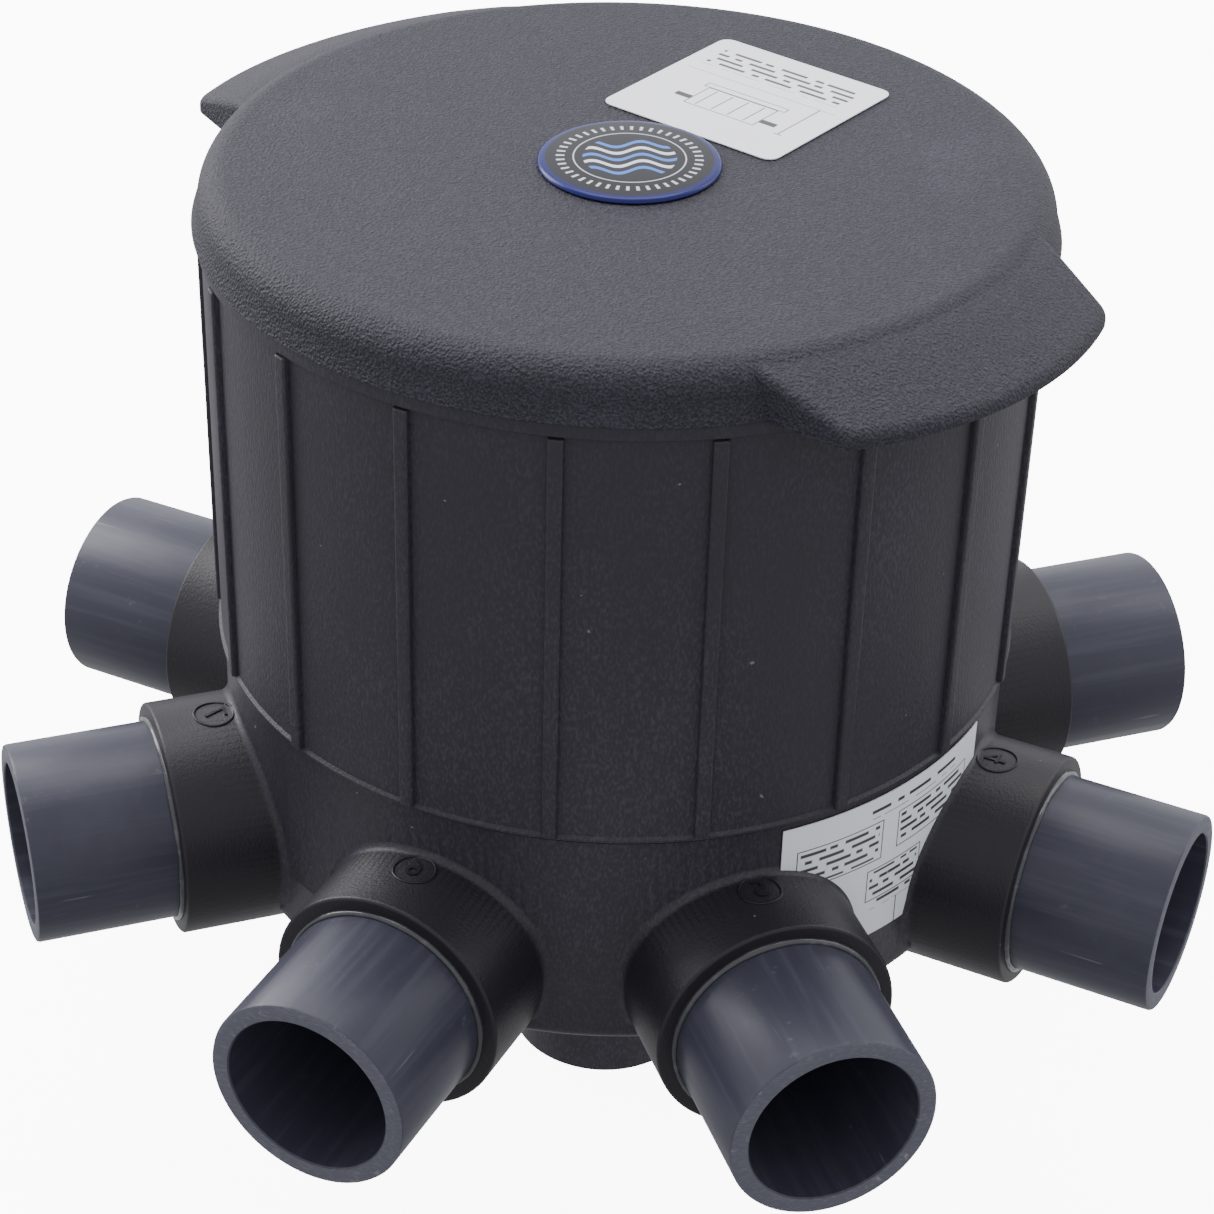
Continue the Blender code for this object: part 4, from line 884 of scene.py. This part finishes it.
def in_notch(degrees):
    """Whether a direction lies in one of the lip's notches."""
    step = 360.0 / LUGS
    off = (degrees - COVER_ANGLE + step / 2) % step - step / 2
    return abs(off) < NOTCH_ANGLE / 2


def barrel_directions():
    """Directions of the barrel's sections, close together at ribs and notches."""
    directions = set()
    half = math.degrees(RIB_HALF_WIDTH / BARREL_RADIUS)
    step = 360.0 / RIBS
    for i in range(RIBS):
        middle = RIB_FIRST + step * i
        for share in (0.30, 0.64, 0.78, 0.90, 0.97, 0.999, 1.03, 1.5):
            directions |= {round((middle + side * share * half) % 360, 5) for side in (-1, 1)}
        between = [middle + half + (step - 2 * half) * j / 8 for j in range(1, 8)]
        directions |= {round(direction % 360, 5) for direction in between}
    for i in range(LUGS):
        middle = COVER_ANGLE + 360.0 * i / LUGS
        for edge in (-NOTCH_ANGLE / 2, NOTCH_ANGLE / 2):
            directions |= {round((middle + edge + nudge) % 360, 5) for nudge in (-0.02, 0.02)}
    return sorted(directions)


def barrel(look):
    """Ribbed canister with its flange, lip, notches and ledge."""
    rib_foot, rib_top = BARREL_BOTTOM + 0.0018, BARREL_TOP - 0.0045
    columns = []
    for degrees in barrel_directions():
        rise = rib_rise(degrees)
        lip = BARREL_BORE - 0.0001 if in_notch(degrees) else LIP_RADIUS
        ribbed = BARREL_RADIUS + rise
        foot = max(SKIRT_RADIUS, ribbed)
        profile = [
            (LEDGE_RADIUS, BARREL_BOTTOM), (SKIRT_RADIUS - 0.0003, BARREL_BOTTOM),
            (SKIRT_RADIUS, BARREL_BOTTOM + 0.0003), (SKIRT_RADIUS, BARREL_BOTTOM + 0.0009),
            (foot, BARREL_BOTTOM + 0.0010), (ribbed, rib_foot), (ribbed, BARREL_BOTTOM + 0.04),
            (ribbed, BARREL_TOP - 0.04), (ribbed, rib_top - 0.0004),
            (BARREL_RADIUS + 0.8 * rise, rib_top), (BARREL_RADIUS, rib_top + 0.0001),
            (BARREL_RADIUS, rib_top + 0.0003), (FLANGE_RADIUS - 0.0002, rib_top + 0.0006),
            (FLANGE_RADIUS, rib_top + 0.0009), (FLANGE_RADIUS, BARREL_TOP), (lip, BARREL_TOP),
            (lip, BARREL_TOP - LIP_HEIGHT), (BARREL_BORE, BARREL_TOP - LIP_HEIGHT),
            (BARREL_BORE, LEDGE_TOP), (LEDGE_BORE, LEDGE_TOP), (LEDGE_BORE, LEDGE_TOP - 0.004),
            (BARREL_BORE, LEDGE_TOP - 0.014), (BARREL_BORE, BARREL_BOTTOM + 0.005),
            (LEDGE_RADIUS, BARREL_BOTTOM + 0.003),
        ]
        direction = polar(1.0, degrees)
        columns.append([(direction.x * r, direction.y * r, z) for r, z in profile])
    return dress(skin(columns), "barrel_shell", "valve_body", look, ["barrel"])


# ---------------------------------------------------------------- cover
def wing_height(radius):
    """Height of a wing's top: level, then bending down to an even slope."""
    start, end = WING_BEND
    curve = WING_SLOPE / (2 * (end - start))
    bent = min(max(radius - start, 0.0), end - start)
    return COVER_TOP - 0.0001 - curve * bent ** 2 - WING_SLOPE * max(radius - end, 0.0)


def wing_outline(inset):
    """Plan outline of a wing along +X, from one root over the outer arc to the other."""
    half = WING_CORNER[1]
    rise = WING_REACH - WING_CORNER[0]
    arc_radius = (half ** 2 + rise ** 2) / (2 * rise)
    centre = Vector((WING_REACH - arc_radius, 0.0))
    spread = math.degrees(math.asin(half / arc_radius))
    corner, half_steps = 0.055, 14
    arc = [centre + polar(arc_radius, -spread * (1 - corner) * (1 - i / half_steps))
           for i in range(2 * half_steps + 1)]
    root, tip = Vector((WING_ROOT[0], -WING_ROOT[1])), Vector((WING_CORNER[0], -WING_CORNER[1]))
    side = [root.lerp(tip, s) for s in (0.0, 0.15, 0.3, 0.45, 0.58, 0.70, 0.80, 0.88, 0.93)]
    start, end = side[-1], arc[0]
    for s in (0.25, 0.5, 0.75):
        side.append((1 - s) ** 2 * start + 2 * s * (1 - s) * tip + s ** 2 * end)
    mirrored = [Vector((p.x, -p.y)) for p in reversed(side)]
    outline = side + arc + mirrored
    moved = []
    for i, point in enumerate(outline):
        before, after = outline[max(i - 1, 0)], outline[min(i + 1, len(outline) - 1)]
        along = (after - before).normalized()
        moved.append(point + Vector((-along.y, along.x)) * inset)
    return moved


def wing(degrees):
    """Solid wing with rounded upper edges, running into the cap."""
    turn = Matrix.Rotation(math.radians(degrees), 4, "Z")
    rows = []
    edge_loop = wing_outline(WING_EDGE)
    steps = 16
    for step in range(steps + 1):
        row = []
        for point in edge_loop:
            direction = point.normalized()
            radius = WING_START + (point.length - WING_START) * step / steps
            row.append((*(direction * radius), wing_height(radius)))
        rows.append(row)
    for sweep in (15, 30, 45, 60, 75, 90):
        inset = WING_EDGE * (1 - math.sin(math.radians(sweep)))
        drop = WING_EDGE * (1 - math.cos(math.radians(sweep)))
        rows.append([(p.x, p.y, wing_height(p.length) - drop) for p in wing_outline(inset)])
    rows.append([(x, y, COVER_BOTTOM + 0.0001) for x, y, _ in rows[-1]])
    rows.append([(x, y, COVER_BOTTOM + 0.0001) for x, y, _ in rows[0]])
    bm = bmesh.new()
    grid = [[bm.verts.new(turn @ Vector(p)) for p in row] for row in rows]
    for upper, lower in zip(grid, grid[1:] + grid[:1]):
        for i in range(len(upper) - 1):
            bm.faces.new((upper[i], upper[i + 1], lower[i + 1], lower[i]))
    for end in (0, -1):
        bm.faces.new([row[end] for row in grid])
    bmesh.ops.triangulate(bm, faces=bm.faces)
    return from_bmesh(bm)


def wing_pocket(degrees):
    """Hollow under a wing that leaves an even skin."""
    steps = 12
    angles = [degrees + POCKET_ANGLE * (i / steps - 0.5) for i in range(steps + 1)]
    bm = bmesh.new()
    columns = []
    for angle in angles:
        top = [(*polar(r, angle), wing_height(r) - WING_SKIN) for r in POCKET_RADII]
        low = [(*polar(r, angle), COVER_BOTTOM - 0.001) for r in reversed(POCKET_RADII)]
        columns.append([bm.verts.new(p) for p in top + low])
    for left, right in zip(columns, columns[1:]):
        for i in range(len(left)):
            j = (i + 1) % len(left)
            bm.faces.new((left[i], left[j], right[j], right[i]))
    bm.faces.new(columns[0])
    bm.faces.new(columns[-1])
    return from_bmesh(bm)


def cover(look):
    """Cap with a rounded shoulder, two wings, an inner ring with lugs and a pivot boss."""
    shoulder = (COVER_SHOULDER - COVER_FILLET, COVER_TOP - COVER_FILLET)
    shape = lathe([
        (COVER_RADIUS - 0.0004, COVER_BOTTOM), (COVER_RADIUS, COVER_BOTTOM + 0.0004),
        *quarter(shoulder, COVER_FILLET, 0.0, 90.0, 14), (0.085, COVER_TOP), (0.050, COVER_TOP),
        (0.0, COVER_TOP), (0.0, COVER_INSIDE), (RING_BORE, COVER_INSIDE), (RING_BORE, RING_BOTTOM),
        (RING_RADIUS, RING_BOTTOM), (RING_RADIUS, COVER_INSIDE), (0.1160, COVER_INSIDE - 0.0030),
        (0.1180, COVER_BOTTOM),
    ], 216)
    boss_top = COVER_TOP - 0.002
    boss = lathe([
        (0.0, boss_top), (BOSS_RADIUS, boss_top), (BOSS_RADIUS, BOSS_BOTTOM),
        (PIVOT_HOLE, BOSS_BOTTOM), (PIVOT_HOLE, PIVOT_HOLE_TOP), (0.0, PIVOT_HOLE_TOP),
    ], 48)
    wings = (COVER_ANGLE, COVER_ANGLE + 180.0)
    lugs = [sector(COVER_ANGLE + 360.0 * i / LUGS, LUG_ANGLE, RING_RADIUS - 0.001, LUG_RADIUS,
                   LUG_BOTTOM, LUG_TOP) for i in range(LUGS)]
    combine(shape, [boss, *[wing(angle) for angle in wings], *lugs], "UNION")
    combine(shape, [wing_pocket(angle) for angle in wings], "DIFFERENCE")
    return dress(shape, "cover_shell", "cover_cap", look, ["cover"], angle=35.0)


def badge(look):
    """Domed round emblem."""
    low, high = BADGE_LOW.z, BADGE_HIGH.z
    ease = 0.0014
    profile = [(0.0, low), (BADGE_RADIUS - 0.0003, low), (BADGE_RADIUS, low + 0.0003),
               *quarter((BADGE_RADIUS - ease, high - 0.00045 - ease), ease, 10.0, 80.0, 6),
               (BADGE_RIM, high - 0.00030), (0.012, high - 0.00008), (0.0, high)]
    shape = lathe(profile, 96)
    shape.data.transform(Matrix.Translation((BADGE_CENTRE.x, BADGE_CENTRE.y, 0.0)))
    return dress(shape, "badge_dome", "cover_cap", look, ["badge"], angle=60.0)


# ---------------------------------------------------------------- studio
CAMERA_AZIMUTH = -87.25
CAMERA_ELEVATION = 34.36
CAMERA_DISTANCE = 0.9517
CAMERA_ROLL = 1.72
CAMERA_TARGET = Vector((0.0, 0.0, 0.150))
CAMERA_LENS = 90.83               # millimetres, on a sensor 36 mm wide
CAMERA_SHIFT = (-0.00586, 0.0320)
WALLS_FRONT, WALLS_BACK = 0.95, 1.5
GROUND_SHARE = 0.50               # brightness from below, of that from the walls
FLOOR_GLOW = 9.0
FLOOR_HALF = 6.0
SOFTBOXES = (                     # name, azimuth, elevation, distance, size, power
    ("left", 152.0, 30.0, 1.5, (0.8, 1.0), 19.0),
    ("right", 25.0, 35.0, 1.6, (0.6, 1.0), 4.0),
    ("top", 100.0, 74.0, 1.5, (1.4, 1.0), 15.0),
)


def towards(azimuth, elevation):
    """Unit vector in a direction."""
    level = math.cos(math.radians(elevation))
    return Vector((*polar(level, azimuth), math.sin(math.radians(elevation))))


def camera():
    """Camera at the photo's viewing angle."""
    away = towards(CAMERA_AZIMUTH, CAMERA_ELEVATION)
    forward = -away
    right = forward.cross(Vector((0.0, 0.0, 1.0))).normalized()
    up = right.cross(forward)
    roll = math.radians(CAMERA_ROLL)
    turned_right = math.cos(roll) * right + math.sin(roll) * up
    turned_up = math.cos(roll) * up - math.sin(roll) * right
    data = bpy.data.cameras.new("camera")
    data.sensor_width = 36.0
    data.lens = CAMERA_LENS
    data.shift_x, data.shift_y = CAMERA_SHIFT
    data.clip_start = 0.01
    holder = bpy.data.objects.new("camera", data)
    bpy.context.collection.objects.link(holder)
    pose = Matrix((turned_right, turned_up, away)).transposed().to_4x4()
    holder.matrix_world = Matrix.Translation(CAMERA_TARGET + away * CAMERA_DISTANCE) @ pose
    bpy.context.scene.camera = holder


def softbox(name, azimuth, elevation, distance, size, power):
    """Rectangular area light aimed at the valve."""
    data = bpy.data.lights.new(name, "AREA")
    data.shape = "RECTANGLE"
    data.size, data.size_y = size
    data.energy = power
    holder = bpy.data.objects.new(name, data)
    bpy.context.collection.objects.link(holder)
    away = towards(azimuth, elevation)
    aim = away.to_track_quat("Z", "Y").to_matrix().to_4x4()
    holder.matrix_world = Matrix.Translation(CAMERA_TARGET + away * distance) @ aim


def smooth_range(nodes, links, value, limits, results):
    """Map a value smoothly from two limits to two results."""
    node = nodes.new("ShaderNodeMapRange")
    node.interpolation_type = "SMOOTHSTEP"
    node.inputs["From Min"].default_value, node.inputs["From Max"].default_value = limits
    node.inputs["To Min"].default_value, node.inputs["To Max"].default_value = results
    links.new(value, node.inputs["Value"])
    return node.outputs[0]


def surroundings():
    """Studio walls: bright behind the valve, darker in front of it and dim from below."""
    world = bpy.data.worlds.new("surroundings")
    world.use_nodes = True
    nodes, links = world.node_tree.nodes, world.node_tree.links
    background = nodes["Background"]
    background.inputs["Color"].default_value = SKY
    split = nodes.new("ShaderNodeSeparateXYZ")
    links.new(nodes.new("ShaderNodeTexCoord").outputs["Generated"], split.inputs[0])
    walls = smooth_range(nodes, links, split.outputs[1], (-0.35, 0.55), (WALLS_FRONT, WALLS_BACK))
    ground = smooth_range(nodes, links, split.outputs[2], (-0.45, 0.05), (GROUND_SHARE, 1.0))
    product = nodes.new("ShaderNodeMath")
    product.operation = "MULTIPLY"
    links.new(walls, product.inputs[0])
    links.new(ground, product.inputs[1])
    links.new(product.outputs[0], background.inputs["Strength"])
    bpy.context.scene.world = world


def studio():
    """Pale floor, surroundings and soft lights."""
    bm = bmesh.new()
    bmesh.ops.create_grid(bm, x_segments=1, y_segments=1, size=FLOOR_HALF)
    floor = from_bmesh(bm, "floor")
    floor.location = (0.0, 0.0, -0.0002)
    floor.visible_diffuse = False
    floor.visible_glossy = False
    look = Look("floor_paper", FLOOR_PAPER, 0.9, Emission_Color=(1.0, 1.0, 1.0, 1.0),
                Emission_Strength=FLOOR_GLOW)
    floor.data.materials.append(look.material)
    surroundings()
    for settings in SOFTBOXES:
        softbox(*settings)


# ---------------------------------------------------------------- assembly
cover_material = cover_look()
barrel_material = body_look("barrel_plastic", BARREL_BASE, 0.42, 0.58, 0.95)
# the body plastic colours its collars darker, as painted shade
body_material = body_look("body_plastic", BODY_BASE, 0.34, 0.50, 0.60, collar_painted_shade=0.58)
pipe_material = pipe_look()
cut_material = cut_look()
cement_material = cement_look()
badge_material = badge_look()
node_looks = {
    "cover_plastic": cover_material, "body_plastic": body_material, "pipe_plastic": pipe_material,
    "badge_plastic": badge_material, "label_film": cover_label_look(), "seal_rubber": rubber_look(),
    "gear_acetal": acetal_look(), "stainless_steel": steel_look(), "inner_plastic": inner_look(),
}
for entry in frame["record"]["subparts"]:
    node = frame["nodes"][entry["node"]]
    node.data.materials.clear()
    node.data.materials.append(node_looks[entry["material_slot"]])
frame["nodes"]["body_label"].data.materials[0] = body_label_look()

lower_body(body_material)
barrel(barrel_material)
cover(cover_material)
badge(badge_material)
for outlet in range(1, OUTLETS + 1):
    pipe_stub(outlet, pipe_material, cut_material)
    cement_bead(outlet, cement_material)
    cast_number(outlet, body_material)
camera()
studio()
